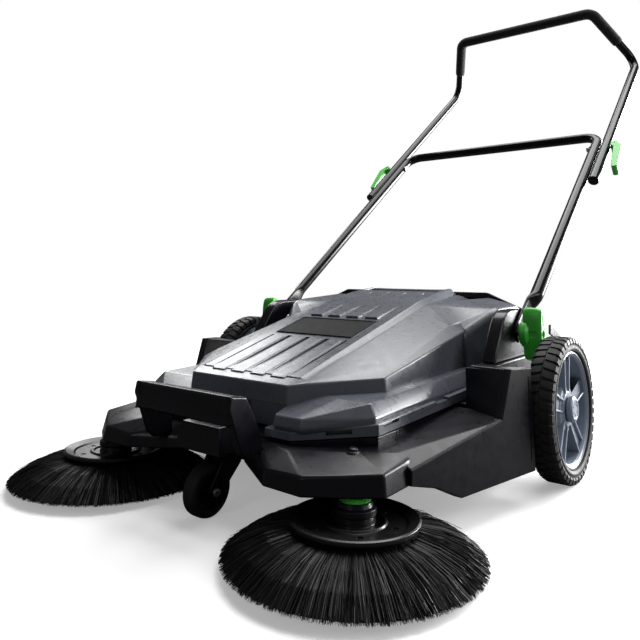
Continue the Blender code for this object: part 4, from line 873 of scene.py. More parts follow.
TOWER = [(-0.0050, 0.1864), (0.0040, 0.2063), (0.0250, 0.2350), (0.0350, 0.2490), (0.0450, 0.2590), (0.0580, 0.2655),
         (0.0760, 0.2688), (0.1180, 0.2688), (0.1360, 0.2650), (0.1480, 0.2560), (0.1550, 0.2430), (0.1560, 0.2250),
         (0.1480, 0.1864)]
for s, tag in NAMES:
    tower = prism([V(s * 0.2553, y, z) for y, z in TOWER], (s * 0.0238, 0, 0), 0.0045, 5)
    ribs = [hull([V(s * x, y, z) for x in (0.2790, 0.2765) for y, z in (
        (yy, 0.1900), (yy + 0.0032, 0.1900), (yy + 0.004, 0.2150), (yy + 0.0062, 0.2150))], 0.0006, 2)
        for yy in (0.0420, 0.0560, 0.0980, 0.1120)]
    piece("tower_" + tag, combine(tower, ribs, [
        rod((0, PIVOT.y, PIVOT.z), (s, 0, 0), 0.0044, 0.2400, 0.2900, 28)]), "black", "chassis",
        ("tower_" + tag,))
    piece("pivot_bolt_" + tag, lathe(rounded([(0.0, 0.2512), (0.0070, 0.2515), (0.0085, 0.2549), (0.0040, 0.2549),
                                              (0.0040, 0.3120), (0.0, 0.3125)], 0.0006),
                                     (0, PIVOT.y, PIVOT.z), (s, 0, 0), 32), "steel", "chassis",
          ("pivot_bolt_" + tag,))
    piece("axle_" + tag, lathe(rounded([(0.0, 0.2290), (0.0080, 0.2290), (0.0080, 0.2863), (0.0135, 0.2863),
                                        (0.0135, 0.2900), (0.0080, 0.2900), (0.0080, 0.3640), (0.0070, 0.3655),
                                        (0.0, 0.3655)], 0.0006), (0, WHEEL_Y, WHEEL_R), (s, 0, 0), 40),
          "steel", "chassis", ("axle_" + tag,))
    piece("roller_bearing_" + tag, lathe(rounded([(0.0066, 0.2640), (0.0101, 0.2640), (0.0101, 0.2863),
                                                  (0.0140, 0.2863), (0.0140, 0.2885), (0.0066, 0.2885)], 0.0004,
                                                 closed=True),
                                         (0, ROLLER_Y, ROLLER_Z), (s, 0, 0), 36, ring=True), "nylon", "chassis",
          ("roller_bearing_" + tag,))
    spot = (s * BRUSH_X, BRUSH_Y, BRUSH_LIFT)
    piece("brush_gearbox_" + tag, combine(
        lathe(rounded([(0.0, 0.0775), (0.0120, 0.0775), (0.0128, 0.0785), (0.0128, 0.0905), (0.0115, 0.0918),
                       (0.0, 0.0918)], 0.0006), spot, BRUSH_N, 36), (),
        [rod(spot, BRUSH_N, 0.0092, 0.0700, 0.0890, 32)]), "nylon", "chassis", ("brush_gearbox_" + tag,))
    screw = lathe(rounded([(0.0, 0.1080), (0.0030, 0.1080), (0.0030, 0.1133), (0.0068, 0.1133),
                           (0.0064, 0.1151), (0.0040, 0.1163), (0.0, 0.1166)], 0.0004),
                  (s * SCREW_X, SCREW_Y, 0), (0, 0, 1), 32)
    cross = [hull([V(s * SCREW_X + x, SCREW_Y + y, z) for x in (-a, a) for y in (-b, b) for z in (0.1143, 0.1190)])
             for a, b in ((0.0038, 0.0008), (0.0008, 0.0038))]
    piece("pod_screw_" + tag, combine(screw, (), cross), "screw", "chassis", ("pod_screw_" + tag,))

cover_ribs = [hull([V(x + d, y, z) for d in (-0.0016, 0.0016) for y, z in (
    (0.2300, 0.0700), (0.2432, 0.0700), (0.2300, 0.1250), (0.2450, 0.1250))], 0.0008, 2)
    for x in (-0.16, -0.08, 0.0, 0.08, 0.16)]
piece("rear_cover", combine(
    hull(both([(0.2500, 0.2092, 0.0460), (0.2500, 0.2092, 0.1300), (0.2500, 0.2092, 0.2400), (0.2480, 0.2092, 0.2640),
               (0.2180, 0.2092, 0.2750), (0.1760, 0.2092, 0.2930), (0.2420, 0.2400, 0.0560), (0.2440, 0.2440, 0.1300),
               (0.2400, 0.2400, 0.2320), (0.2360, 0.2370, 0.2600), (0.2120, 0.2350, 0.2700), (0.1720, 0.2320, 0.2890)]),
         0.0030, 3), cover_ribs,
    [hull(both([(0.2380, 0.2000, 0.1370), (0.2380, 0.2000, 0.2300), (0.2120, 0.2000, 0.2640), (0.1700, 0.2000, 0.2830),
                (0.2340, 0.2360, 0.1370), (0.2300, 0.2330, 0.2300), (0.2050, 0.2310, 0.2620),
                (0.1650, 0.2280, 0.2800)]))]),
    "black", "chassis", ("rear_cover",))

flap_ridges = [box(-0.2190, 0.2190, 0.1144, 0.1152, z, z + 0.0022, 0.0003, 1) for z in (0.0200, 0.0350, 0.0500)]
piece("flap", combine(box(-0.2200, 0.2200, 0.1148, 0.1178, 0.0040, 0.0780, 0.0008), flap_ridges), "flap", "chassis",
      ("seal_flap",))

# ------------------------------------------------------------------ lower handle
leg = [along(t, x) for t, x in ((-0.2130, 0.2831), (-0.2115, 0.2831), (-0.2085, 0.2831), (-0.2040, 0.2831),
                                (-0.2000, 0.2831), (-0.1240, 0.2831), (-0.1180, 0.2842), (-0.1080, 0.2880),
                                (-0.1010, 0.2896), (-0.0950, LOWER_X))]
sizes = [(0.0024, 0.0098, 0.60), (0.0028, 0.0120, 0.55), (0.0028, 0.0144, 0.55), (0.0028, 0.0160, 0.55),
         (0.0028, 0.0165, 0.55), (0.0028, 0.0165, 0.55), (0.0042, 0.0161, 0.65), (0.0085, 0.0148, 0.85),
         (0.0112, 0.0133, 0.95)]
corner = fillet([along(-0.0950, LOWER_X), along(CROSS_T, LOWER_X), along(CROSS_T, -LOWER_X),
                 along(-0.0950, -LOWER_X)], [0.040, 0.040], 12)
path = leg[:-1] + corner + [V(-p.x, p.y, p.z) for p in leg[:-1]][::-1]
full = sizes + [(TUBE_R, TUBE_R, 1.0)] * len(corner) + sizes[::-1]
holes = []
for s in (1, -1):
    holes.append(rod((0, PIVOT.y, PIVOT.z), (s, 0, 0), 0.0045, 0.2700, 0.3000, 24))
    holes.append(rod((0, FOLD.y, FOLD.z), (s, 0, 0), 0.0045, 0.2700, 0.3100, 24))
piece("lower_handle", combine(swept(path, full, 32, HW), (), holes), "tube", "lower_handle", ("lower_handle_tube",),
      weighted=False)

# ------------------------------------------------------------------ upper handle
bend = along(BEND_T, UPPER_X)
rise = V(0, math.cos(ARM_ANGLE), math.sin(ARM_ANGLE)) * ARM_LEN
tip = V(GRIP_X, bend.y, bend.z) + rise
mirror = lambda p: V(-p.x, p.y, p.z)
path = fillet([along(UPPER_END_T, UPPER_X), bend, tip, mirror(tip), mirror(bend),
               along(UPPER_END_T, -UPPER_X)], [0.045, 0.034, 0.034, 0.045], 12)
ends = [along(UPPER_END_T, UPPER_X), along(UPPER_END_T + 0.0012, UPPER_X)]
path = ends + path[1:-1] + [mirror(p) for p in ends[::-1]]
full = [(TUBE_R - 0.0012, TUBE_R - 0.0012, 1.0)] + [(TUBE_R, TUBE_R, 1.0)] * (len(path) - 2) \
    + [(TUBE_R - 0.0012, TUBE_R - 0.0012, 1.0)]
holes = [rod((0, FOLD.y, FOLD.z), (s, 0, 0), 0.0043, 0.3030, 0.3400, 24) for s in (1, -1)]
piece("upper_handle", combine(swept(path, full, 32, HW), (), holes), "tube", "upper_handle", ("upper_handle_tube",),
      weighted=False)

start = bend.lerp(tip, 0.42)
path = fillet([start, tip, mirror(tip), mirror(start)], [0.034, 0.034], 12)
fine_path = [path[0]]
for a, b in zip(path[:-1], path[1:]):
    n = max(1, int((b - a).length / 0.004))
    for k in range(1, n + 1):
        fine_path.append(a.lerp(b, k / n))
outs = []
total = len(fine_path)
for i in range(total):
    e = min(i, total - 1 - i)
    r = FOAM_R - 0.0001 + 0.00012 * math.sin(i * 0.9) * math.sin(i * 0.23)
    if e < 3:
        r -= (0.0014, 0.0005, 0.0001)[e]
    outs.append(min(r, FOAM_R))
arm_dir = (tip - bend).normalized()
piece("foam_grip", sleeve(fine_path, 0.0134, outs, 40, V(1, 0, 0) - arm_dir * arm_dir.x), "foam", "upper_handle",
      ("foam_grip",), weighted=False, angle=60)

for s, tag in NAMES:
    shaft = lathe(rounded([(0.0, 0.2705), (0.0075, 0.2705), (0.0080, 0.2773), (0.0040, 0.2773), (0.0040, 0.3425),
                           (0.0, 0.3425)], 0.0006), (0, FOLD.y, FOLD.z), (s, 0, 0), 32)
    pin = rod((s * LEVER_X, FOLD.y, FOLD.z), HW, 0.0024, -0.0115, 0.0115, 24, 0.0005)
    piece("lever_bolt_" + tag, combine(shaft, [pin]), "steel", "upper_handle", ("lever_bolt_" + tag,))

    outline = []
    for k in range(17):
        a = math.radians(90 + 180 * k / 16)
        outline.append((0.0088 * math.cos(a), 0.0088 * math.sin(a)))
    outline += [(0.0100, -0.0080), (0.0180, 0.0000), (0.0900, 0.0030), (0.0965, 0.0042), (0.0990, 0.0065),
                (0.0990, 0.0128), (0.0970, 0.0165), (0.0930, 0.0180), (0.0180, 0.0190), (0.0130, 0.0168),
                (0.0080, 0.0130)]
    hub_at = V(s * LEVER_X, FOLD.y, FOLD.z)
    lever = prism([hub_at - HD * a + V(s, 0, 0) * b - HW * 0.0135 for a, b in outline], HW * 0.0270, 0.0016, 3)
    slot_pts = [hub_at - HD * a + V(s, 0, 0) * b + HW * c
                for a in (-0.0200, 0.0062) for b in (-0.0200, 0.0250) for c in (-0.0050, 0.0050)]
    grooves = [hull([hub_at - HD * (a0 + d) + V(s, 0, 0) * b + HW * c
                     for d in (-0.0010, 0.0010) for b in (0.0172, 0.0260) for c in (-0.0095, 0.0095)], 0.0004, 2)
               for a0 in (0.0720, 0.0770, 0.0820, 0.0870)]
    lever = combine(lever, (), [
        hull(slot_pts), rod((s * LEVER_X, FOLD.y, FOLD.z), HW, 0.0028, -0.0200, 0.0200, 24)] + grooves)
    for vert in lever.verts:
        reach = (hub_at - vert.co).dot(HD)
        if reach > 0.012:
            vert.co -= HW * (LEVER_LEAN * (reach - 0.012))
    piece("cam_lever_" + tag, lever, "green", "cam_lever_" + tag, ("cam_lever_" + tag,))

    def oval(a, b, x, n=56, e=0.8):
        out = []
        for k in range(n):
            c, q = math.cos(2 * math.pi * k / n), math.sin(2 * math.pi * k / n)
            out.append(V(s * x, PIVOT.y + a * math.copysign(abs(c) ** e, c),
                         PIVOT.z + b * math.copysign(abs(q) ** e, q)))
        return out
    knob = hull(oval(0.0120, 0.0430, KNOB_IN + 0.004) + oval(0.0128, 0.0448, KNOB_IN + 0.010)
                + oval(0.0128, 0.0450, KNOB_IN + 0.016) + oval(0.0120, 0.0440, KNOB_OUT - 0.009)
                + oval(0.0105, 0.0425, KNOB_OUT - 0.004) + oval(0.0092, 0.0410, KNOB_OUT - 0.0014)
                + oval(0.0078, 0.0392, KNOB_OUT))
    hub = lathe(rounded([(0.0, KNOB_IN), (0.0215, KNOB_IN), (0.0230, KNOB_IN + 0.003), (0.0220, KNOB_IN + 0.011),
                         (0.0160, KNOB_IN + 0.0150), (0.0, KNOB_IN + 0.0150)], 0.0012),
                (0, PIVOT.y, PIVOT.z), (s, 0, 0), 48)
    cuts = [rod((0, PIVOT.y, PIVOT.z), (s, 0, 0), 0.0044, 0.2800, 0.3150, 24),
            rod((0, PIVOT.y, PIVOT.z), (s, 0, 0), 0.0068, KNOB_OUT - 0.0070, KNOB_OUT + 0.01, 40)]
    for q in (1, -1):
        # waist between the two lobes
        for z0 in (0.0125, -0.0125):
            cuts.append(rod((0, PIVOT.y + q * 0.0270, PIVOT.z + z0 * 0.0), (s, 0, 0), 0.0160, KNOB_IN + 0.0152,
                            KNOB_OUT + 0.01, 48))
            break
        cuts.append(hull([V(s * x, PIVOT.y + dy * g, PIVOT.z + q * dz) for x, g in ((KNOB_OUT - 0.0014, 0.8), (KNOB_OUT + 0.004, 1.3))
                          for dy in (-0.0028, 0.0028) for dz in (0.0150, 0.0330)], 0.0004, 2))
    piece("knob_" + tag, combine(knob, [hub], cuts), "green", "knob_" + tag, ("clamp_knob_" + tag,))

# ------------------------------------------------------------------ rear wheels
MID_T = (WHEEL_OUT + WHEEL_IN) / 2
for s, tag in NAMES:
    who = "wheel_" + tag
    centre = (0, WHEEL_Y, WHEEL_R)
    C = V(0, WHEEL_Y, WHEEL_R)
    carcass = lathe(rounded([(RIM_R + 0.0003, MID_T - 0.0175), (0.0925, WHEEL_IN + 0.0020), (0.0960, WHEEL_IN + 0.0004),
                             (0.0985, WHEEL_IN + 0.0004), (0.0992, WHEEL_IN + 0.0014), (0.1030, WHEEL_IN + 0.0014),
                             (0.1080, WHEEL_IN + 0.0034), (0.1122, WHEEL_IN + 0.0080),
                             (0.1122, WHEEL_OUT - 0.0080), (0.1080, WHEEL_OUT - 0.0034),
                             (0.1030, WHEEL_OUT - 0.0014), (0.0992, WHEEL_OUT - 0.0014), (0.0985, WHEEL_OUT - 0.0004),
                             (0.0960, WHEEL_OUT - 0.0004), (0.0925, WHEEL_OUT - 0.0020),
                             (RIM_R + 0.0003, MID_T + 0.0175)], 0.0008, 3, closed=True),
                    centre, (s, 0, 0), 144, ring=True)
    lugs = []
    N = 46
    for k in range(N):
        for flip in (0, 1):
            a0 = 2 * math.pi * (k + 0.5 * flip) / N
            wd = math.radians(2.5)
            x0, x1, xs = (MID_T + 0.0010, WHEEL_OUT - 0.0065, WHEEL_OUT) if flip else \
                (MID_T - 0.0010, WHEEL_IN + 0.0065, WHEEL_IN)
            pts = []
            for a in (-wd, 0.0, wd):
                for r, x, shift in ((0.1095, x0, -0.35), (WHEEL_R, x0, -0.35), (WHEEL_R, x1, 0.35),
                                    (0.1118, xs + (-1 if flip else 1) * 0.0018, 0.45), (0.1050, xs, 0.45),
                                    (0.1020, xs + (-1 if flip else 1) * 0.0010, 0.45),
                                    (0.1010, xs + (-1 if flip else 1) * 0.0060, 0.45)):
                    t = a0 + a + wd * shift
                    rr = min(r, WHEEL_R)
                    pts.append(V(s * x, WHEEL_Y + rr * math.cos(t), WHEEL_R + rr * math.sin(t)))
            lugs.append(hull(pts, 0.0005, 1))
    me_all = bmesh.new()
    for bm in [carcass] + lugs:
        tmp = bpy.data.meshes.new("t")
        bm.to_mesh(tmp)
        bm.free()
        me_all.from_mesh(tmp)
        bpy.data.meshes.remove(tmp)
    piece("tyre_" + tag, me_all, "tyre", who, ("tyre_" + tag,))

    ring = lathe(rounded([(0.0830, MID_T - 0.0165), (RIM_R - 0.0003, MID_T - 0.0165), (RIM_R - 0.0003, MID_T + 0.0168),
                          (0.0880, MID_T + 0.0178), (0.0868, MID_T + 0.0160), (0.0850, MID_T + 0.0150),
                          (0.0830, MID_T + 0.0120)], 0.0008, 3, closed=True), centre, (s, 0, 0), 96, ring=True)
    adds = [lathe(rounded([(0.0, WHEEL_IN + 0.0012), (0.0240, WHEEL_IN + 0.0012), (0.0275, WHEEL_IN + 0.0040),
                           (0.0290, 0.3640), (0.0265, 0.3672), (0.0, 0.3672)], 0.0012), centre, (s, 0, 0), 72)]
    web = lathe([(0.0, 0.3480), (0.0360, 0.3480), (0.0380, 0.3500), (0.0380, 0.3600), (0.0350, 0.3640),
                 (0.0, 0.3660)], centre, (s, 0, 0), 72)
    adds.append(web)
    for k in range(5):
        a = math.radians(90 + 72 * k)
        u = V(0, math.cos(a), math.sin(a))
        w = V(0, -math.sin(a), math.cos(a))
        pts = []
        for r, hw, x0, x1 in ((0.0150, 0.0100, 0.3470, 0.3625), (0.0850, 0.0140, 0.3490, 0.3645)):
            for q in (-hw, hw):
                pts += [C + u * r + w * q + V(s * x0, 0, 0), C + u * r + w * q + V(s * x1, 0, 0)]
        adds.append(hull(pts, 0.0008, 2))
        for q in (-1, 1):
            pts = []
            for r, mid, hw, x0, x1 in ((0.0170, 0.0085, 0.0022, 0.3440, 0.3668), (0.0855, 0.0128, 0.0024, 0.3460, 0.3692)):
                for e in (-hw, hw):
                    pts += [C + u * r + w * (q * mid + e) + V(s * x0, 0, 0),
                            C + u * r + w * (q * mid + e * 0.7) + V(s * x1, 0, 0)]
            adds.append(hull(pts, 0.0007, 2))
    bore = [rod(centre, (s, 0, 0), 0.0086, 0.3000, 0.3664, 32)]
    piece("rim_" + tag, combine(ring, adds, bore), "rim", who, ("rim_" + tag,))
    cap = lathe(rounded([(0.0, 0.3683), (0.0190, 0.3683), (0.0205, 0.3700), (0.0200, 0.3760), (0.0170, 0.3783),
                         (0.0140, 0.3785), (0.0132, 0.3776), (0.0, 0.3776)], 0.0008), centre, (s, 0, 0), 64)
    notches = []
    for k in range(6):
        a = math.radians(60 * k + 30)
        notches.append(rod((0, WHEEL_Y + 0.0090 * math.cos(a), WHEEL_R + 0.0090 * math.sin(a)), (s, 0, 0), 0.0016,
                           0.3765, 0.3800, 12))
    piece("hub_cap_" + tag, combine(cap, (), notches), "rim", who, ("hub_cap_" + tag,))

keep("drive_gear", "nylon")
keep("roller_pinion", "nylon")

# ------------------------------------------------------------------ filaments
rng = np.random.default_rng(11)


def strands(roots, mids, tips, widths):
    """Thin three-sided filaments along quadratic curves, as one mesh."""
    n = len(roots)
    S = 4
    t = np.linspace(0, 1, S)
    verts = np.zeros((n, S, 3, 3))
    for i, k in enumerate(t):
        verts[:, i] = (roots * (1 - k) ** 2 + mids * 2 * k * (1 - k) + tips * k ** 2)[:, None, :]
    d = tips - roots
    d /= np.linalg.norm(d, axis=1)[:, None]
    ref = np.tile(np.array([[0.13, 0.27, 0.95]]), (n, 1))
    u = np.cross(d, ref)
    u /= np.linalg.norm(u, axis=1)[:, None]
    w = np.cross(d, u)
    spin = rng.uniform(0, 2 * math.pi, n)
    for j in range(3):
        ang = spin + j * 2 * math.pi / 3
        off = u * np.cos(ang)[:, None] + w * np.sin(ang)[:, None]
        for i, k in enumerate(t):
            verts[:, i, j] += off * (widths * (1.0 - 0.45 * k))[:, None]
    faces = []
    for a in range(n):
        b = a * S * 3
        for i in range(S - 1):
            for j in range(3):
                q = (j + 1) % 3
                faces.append((b + i * 3 + j, b + i * 3 + q, b + (i + 1) * 3 + q, b + (i + 1) * 3 + j))
        faces.append((b, b + 2, b + 1))
        faces.append((b + (S - 1) * 3, b + (S - 1) * 3 + 1, b + (S - 1) * 3 + 2))
    return verts.reshape(-1, 3), faces


def brush_points(s, r, ang, h):
    """Points in the tilted frame of a side brush."""
    n = np.array(BRUSH_N)
    ex = np.array([1.0, 0.0, 0.0])
    ey = np.cross(n, ex)
    c = np.array([s * BRUSH_X, BRUSH_Y, BRUSH_LIFT])
    return c + (r * np.cos(ang))[:, None] * ex + (r * np.sin(ang))[:, None] * ey + h[:, None] * n


for s, tag in NAMES:
    who = "side_brush_" + tag
    n_tuft, per = 132, 62
    total = n_tuft * per
    tuft = np.repeat(np.arange(n_tuft), per)
    base = 2 * math.pi * tuft / n_tuft + rng.normal(0, 0.017, total)
    depth = rng.uniform(0, 1, total)
    r0 = 0.0560 + 0.0200 * depth
    h0 = np.full(total, 0.0334)
    lean = 0.02 + rng.normal(0, 0.022, total) + 0.015 * np.sin(tuft * 2.3)
    r1 = 0.128 + (BRUSH_R - 0.128) * depth ** 0.38 + rng.normal(0, 0.0016, total)
    r1 = np.minimum(r1 + rng.uniform(-0.002, 0.0012, total), BRUSH_R - 0.0002 - 0.0008 * rng.uniform(0, 1, total))
    h1 = np.clip(rng.normal(0.0012, 0.0009, total), 0.0003, 0.005)
    far = rng.uniform(0, 1, total) > 0.96
    h1 = np.where(far, h1 + rng.uniform(0.001, 0.005, total), h1)
    rm = r0 + (r1 - r0) * (0.46 + 0.16 * depth)
    hm = np.where(depth > 0.5, 0.0282, 0.0205) + rng.normal(0, 0.0008, total)
    roots = brush_points(s, r0, base, h0)
    mids = brush_points(s, rm, base + lean * 0.4, hm)
    tips = brush_points(s, r1, base + lean, h1)
    wid = rng.uniform(0.00036, 0.00066, total)
    v, f = strands(roots, mids, tips, wid)
    array_piece("brush_filaments_" + tag, v, f, "bristle", who, ("brush_bristles_" + tag,),
                smooth=False)
    # dark mass of filaments inside the skirt
    prof = [(0.0460, 0.0336), (0.0760, 0.0336)]
    for k in range(1, 9):
        t = k / 8
        prof.append((0.0760 + 0.0760 * t, 0.0326 * (1 - t) * (1 + 0.16 * t) + 0.0022 * t))
    prof += [(0.1510, 0.0012), (0.1180, 0.0010), (0.0700, 0.0250)]
    inner = lathe(prof, (s * BRUSH_X, BRUSH_Y, BRUSH_LIFT), BRUSH_N, 396, ring=True)
    for vert in inner.verts:
        d = noise.noise(vert.co * 260.0) * 0.0008
        k = math.sin(math.atan2(vert.co.y - BRUSH_Y, vert.co.x - s * BRUSH_X) * 132) * 0.0005
        rad = V(vert.co.x - s * BRUSH_X, vert.co.y - BRUSH_Y, 0)
        if rad.length > 0.092:
            vert.co += rad.normalized() * (d + k)
            vert.co.z = max(vert.co.z, 0.0006)
    piece("brush_mass_" + tag, inner, "core", who, (), weighted=False, angle=80)

    c = (s * BRUSH_X, BRUSH_Y, BRUSH_LIFT)
    dish = lathe(rounded([(0.0104, 0.0345), (0.0760, 0.0345), (0.0790, 0.0372), (0.0795, 0.0390), (0.0795, 0.0425),
                          (0.0770, 0.0438), (0.0650, 0.0400), (0.0620, 0.0376), (0.0400, 0.0376), (0.0380, 0.0400),
                          (0.0350, 0.0400), (0.0330, 0.0376), (0.0250, 0.0376), (0.0240, 0.0460),
                          (0.0104, 0.0460)], 0.0009, 3, closed=True), c, BRUSH_N, 132, ring=True)
    holes = []
    for k in range(6):
        a = math.radians(60 * k + 12)
        n = V(*BRUSH_N)
        ex = V(1, 0, 0)
        ey = n.cross(ex)
        p = V(*c) + ex * 0.0510 * math.cos(a) + ey * 0.0510 * math.sin(a)
        holes.append(rod(p, BRUSH_N, 0.0042, 0.0362, 0.0420, 24))
    piece("brush_ring_" + tag, combine(dish, (), holes), "ring", who, ("brush_ring_" + tag,))
    spindle = lathe(rounded([(0.0, 0.0348), (0.0100, 0.0348), (0.0100, 0.0463), (0.0255, 0.0463), (0.0265, 0.0480),
                             (0.0260, 0.0540), (0.0220, 0.0560), (0.0205, 0.0608), (0.0085, 0.0608),
                             (0.0085, 0.0870), (0.0, 0.0870)], 0.0008, 3), c, BRUSH_N, 72)
    piece("spindle_" + tag, spindle, "black", who, ("brush_spindle_" + tag,))
    collar = lathe(rounded([(0.0088, 0.0611), (0.0190, 0.0611), (0.0195, 0.0616), (0.0195, 0.0665), (0.0188, 0.0672),
                            (0.0088, 0.0672)], 0.0005, 3, closed=True), c, BRUSH_N, 72, ring=True)
    nicks = []
    for k in range(18):
        a = 2 * math.pi * k / 18
        n = V(*BRUSH_N)
        ex = V(1, 0, 0)
        ey = n.cross(ex)
        nicks.append(rod(V(*c) + ex * 0.0201 * math.cos(a) + ey * 0.0201 * math.sin(a), BRUSH_N, 0.0011,
                         0.0600, 0.0680, 12))
    piece("brush_collar_" + tag, combine(collar, (), nicks), "green", who, ("brush_collar_" + tag,))

# ------------------------------------------------------------------ roller brush
piece("roller_core", lathe(rounded([(0.0, -0.2885), (0.0060, -0.2885), (0.0060, -0.2220), (0.0170, -0.2220),
                                    (0.0170, 0.2220), (0.0060, 0.2220), (0.0060, 0.3370), (0.0, 0.3370)], 0.0006),
                           (0, ROLLER_Y, ROLLER_Z), (1, 0, 0), 40), "steel", "roller", ("roller_core",))
rows, per_row, per_tuft = 10, 66, 9
k = np.arange(rows * per_row * per_tuft)
row = k // (per_row * per_tuft)
col = (k // per_tuft) % per_row
x = -0.2080 + 0.4160 * col / (per_row - 1)
ang = 2 * math.pi * row / rows + 1.1 * np.abs(x) / 0.2080
xr = x + rng.normal(0, 0.0008, len(k))
ar = ang + rng.normal(0, 0.03, len(k))


def roller_points(xx, aa, rr):
    return np.stack([xx, ROLLER_Y + rr * np.cos(aa), ROLLER_Z + rr * np.sin(aa)], 1)


at = ang + rng.normal(0, 0.055, len(k))
xt = np.clip(x + rng.normal(0, 0.0024, len(k)), -0.2120, 0.2120)
rt = 0.0496 - np.abs(rng.normal(0, 0.0008, len(k)))
v, f = strands(roller_points(xr, ar, np.full(len(k), 0.0168)),
               roller_points((xr + xt) / 2, (ar + at) / 2, np.full(len(k), 0.0340)),
               roller_points(xt, at, rt), rng.uniform(0.00045, 0.00070, len(k)))
array_piece("roller_filaments", v, f, "bristle", "roller", ("roller_bristles",), smooth=False)
piece("roller_sleeve", lathe(rounded([(0.0176, -0.2150), (0.0205, -0.2150), (0.0215, -0.2130), (0.0215, 0.2130),
                                      (0.0205, 0.2150), (0.0176, 0.2150)], 0.0006, closed=True),
                             (0, ROLLER_Y, ROLLER_Z), (1, 0, 0), 48, ring=True), "core", "roller", ())

# ------------------------------------------------------------------ swivel caster
plate = lathe(rounded([(0.0, 0.0745), (0.0200, 0.0745), (0.0215, 0.0760), (0.0215, 0.0835), (0.0200, 0.0846),
                       (0.0060, 0.0846), (0.0060, 0.1050), (0.0, 0.1050)], 0.0006), (0, SWIVEL_Y, 0), (0, 0, 1), 48)
adds = []
for s in (1, -1):
    outline = [(-0.3500, 0.0760), (-0.3120, 0.0760), (-0.3160, 0.0640), (-0.3530, 0.0275), (-0.3575, 0.0256),
               (-0.3620, 0.0250), (-0.3665, 0.0262), (-0.3705, 0.0290), (-0.3728, 0.0330), (-0.3730, 0.0370),
               (-0.3700, 0.0450)]
    adds.append(prism([V(s * 0.0150, y, z) for y, z in outline], (s * 0.0035, 0, 0), 0.0009, 2))
holes = [rod((0, CASTER_Y, CASTER_R), (1, 0, 0), 0.0034, -0.03, 0.03, 24)]
piece("caster_fork", combine(plate, adds, holes), "black", "caster_fork", ("caster_fork",))
piece("caster_bolt", lathe(rounded([(0.0, -0.0225), (0.0055, -0.0225), (0.0060, -0.0188), (0.0030, -0.0188),
                                    (0.0030, 0.0188), (0.0060, 0.0188), (0.0055, 0.0225), (0.0, 0.0230)], 0.0005),
                           (0, CASTER_Y, CASTER_R), (1, 0, 0), 32), "steel", "caster_fork", ("caster_axle_bolt",))
piece("caster_tyre", lathe(rounded([(0.0243, -0.0125), (0.0310, -0.0125), (0.0342, -0.0100), (CASTER_R, -0.0060),
                                    (CASTER_R, 0.0060), (0.0342, 0.0100), (0.0310, 0.0125),
                                    (0.0243, 0.0125)], 0.0015, 4, closed=True),
                           (0, CASTER_Y, CASTER_R), (1, 0, 0), 96, ring=True), "tyre", "caster_wheel",
      ("caster_tyre",))
hub = lathe(rounded([(0.0035, -0.0142), (0.0080, -0.0142), (0.0085, -0.0105), (0.0205, -0.0095), (0.0220, -0.0120),
                     (0.0240, -0.0120), (0.0240, 0.0120), (0.0220, 0.0120), (0.0205, 0.0095), (0.0085, 0.0105),
                     (0.0080, 0.0142), (0.0035, 0.0142)], 0.0005, closed=True),
            (0, CASTER_Y, CASTER_R), (1, 0, 0), 64, ring=True)
cuts = []
for k in range(5):
    a = math.radians(72 * k)
    cuts.append(rod((0, CASTER_Y + 0.0148 * math.cos(a), CASTER_R + 0.0148 * math.sin(a)), (1, 0, 0), 0.0036,
                    -0.03, 0.03, 20))
piece("caster_hub", combine(hub, (), cuts), "black", "caster_wheel", ("caster_hub",))

# ------------------------------------------------------------------ studio settings
WORLD = 0.10
GLOW = 0.34
BOUNCE = 0.10
LIGHTS = (
    # name, place, aim, size, power, shape, second size
    ("top", (0.0, 1.0, 3.2), (0.0, 0.0, 0.1), 3.0, 135.0, "RECTANGLE", 2.2),
    ("rear_right", (1.45, 2.7, 0.80), (0.15, 0.0, 0.22), 2.4, 380.0, "RECTANGLE", 1.4),
    ("right", (2.8, 0.1, 1.5), (0.1, -0.1, 0.2), 0.8, 20.0, "RECTANGLE", 1.4),
    ("rear_left", (-2.6, 1.2, 1.8), (0.0, 0.1, 0.2), 0.8, 26.0, "RECTANGLE", 1.6),
    ("front", (0.2, -3.2, 1.9), (0.0, -0.3, 0.1), 0.6, 6.0, "RECTANGLE", 0.8),
)


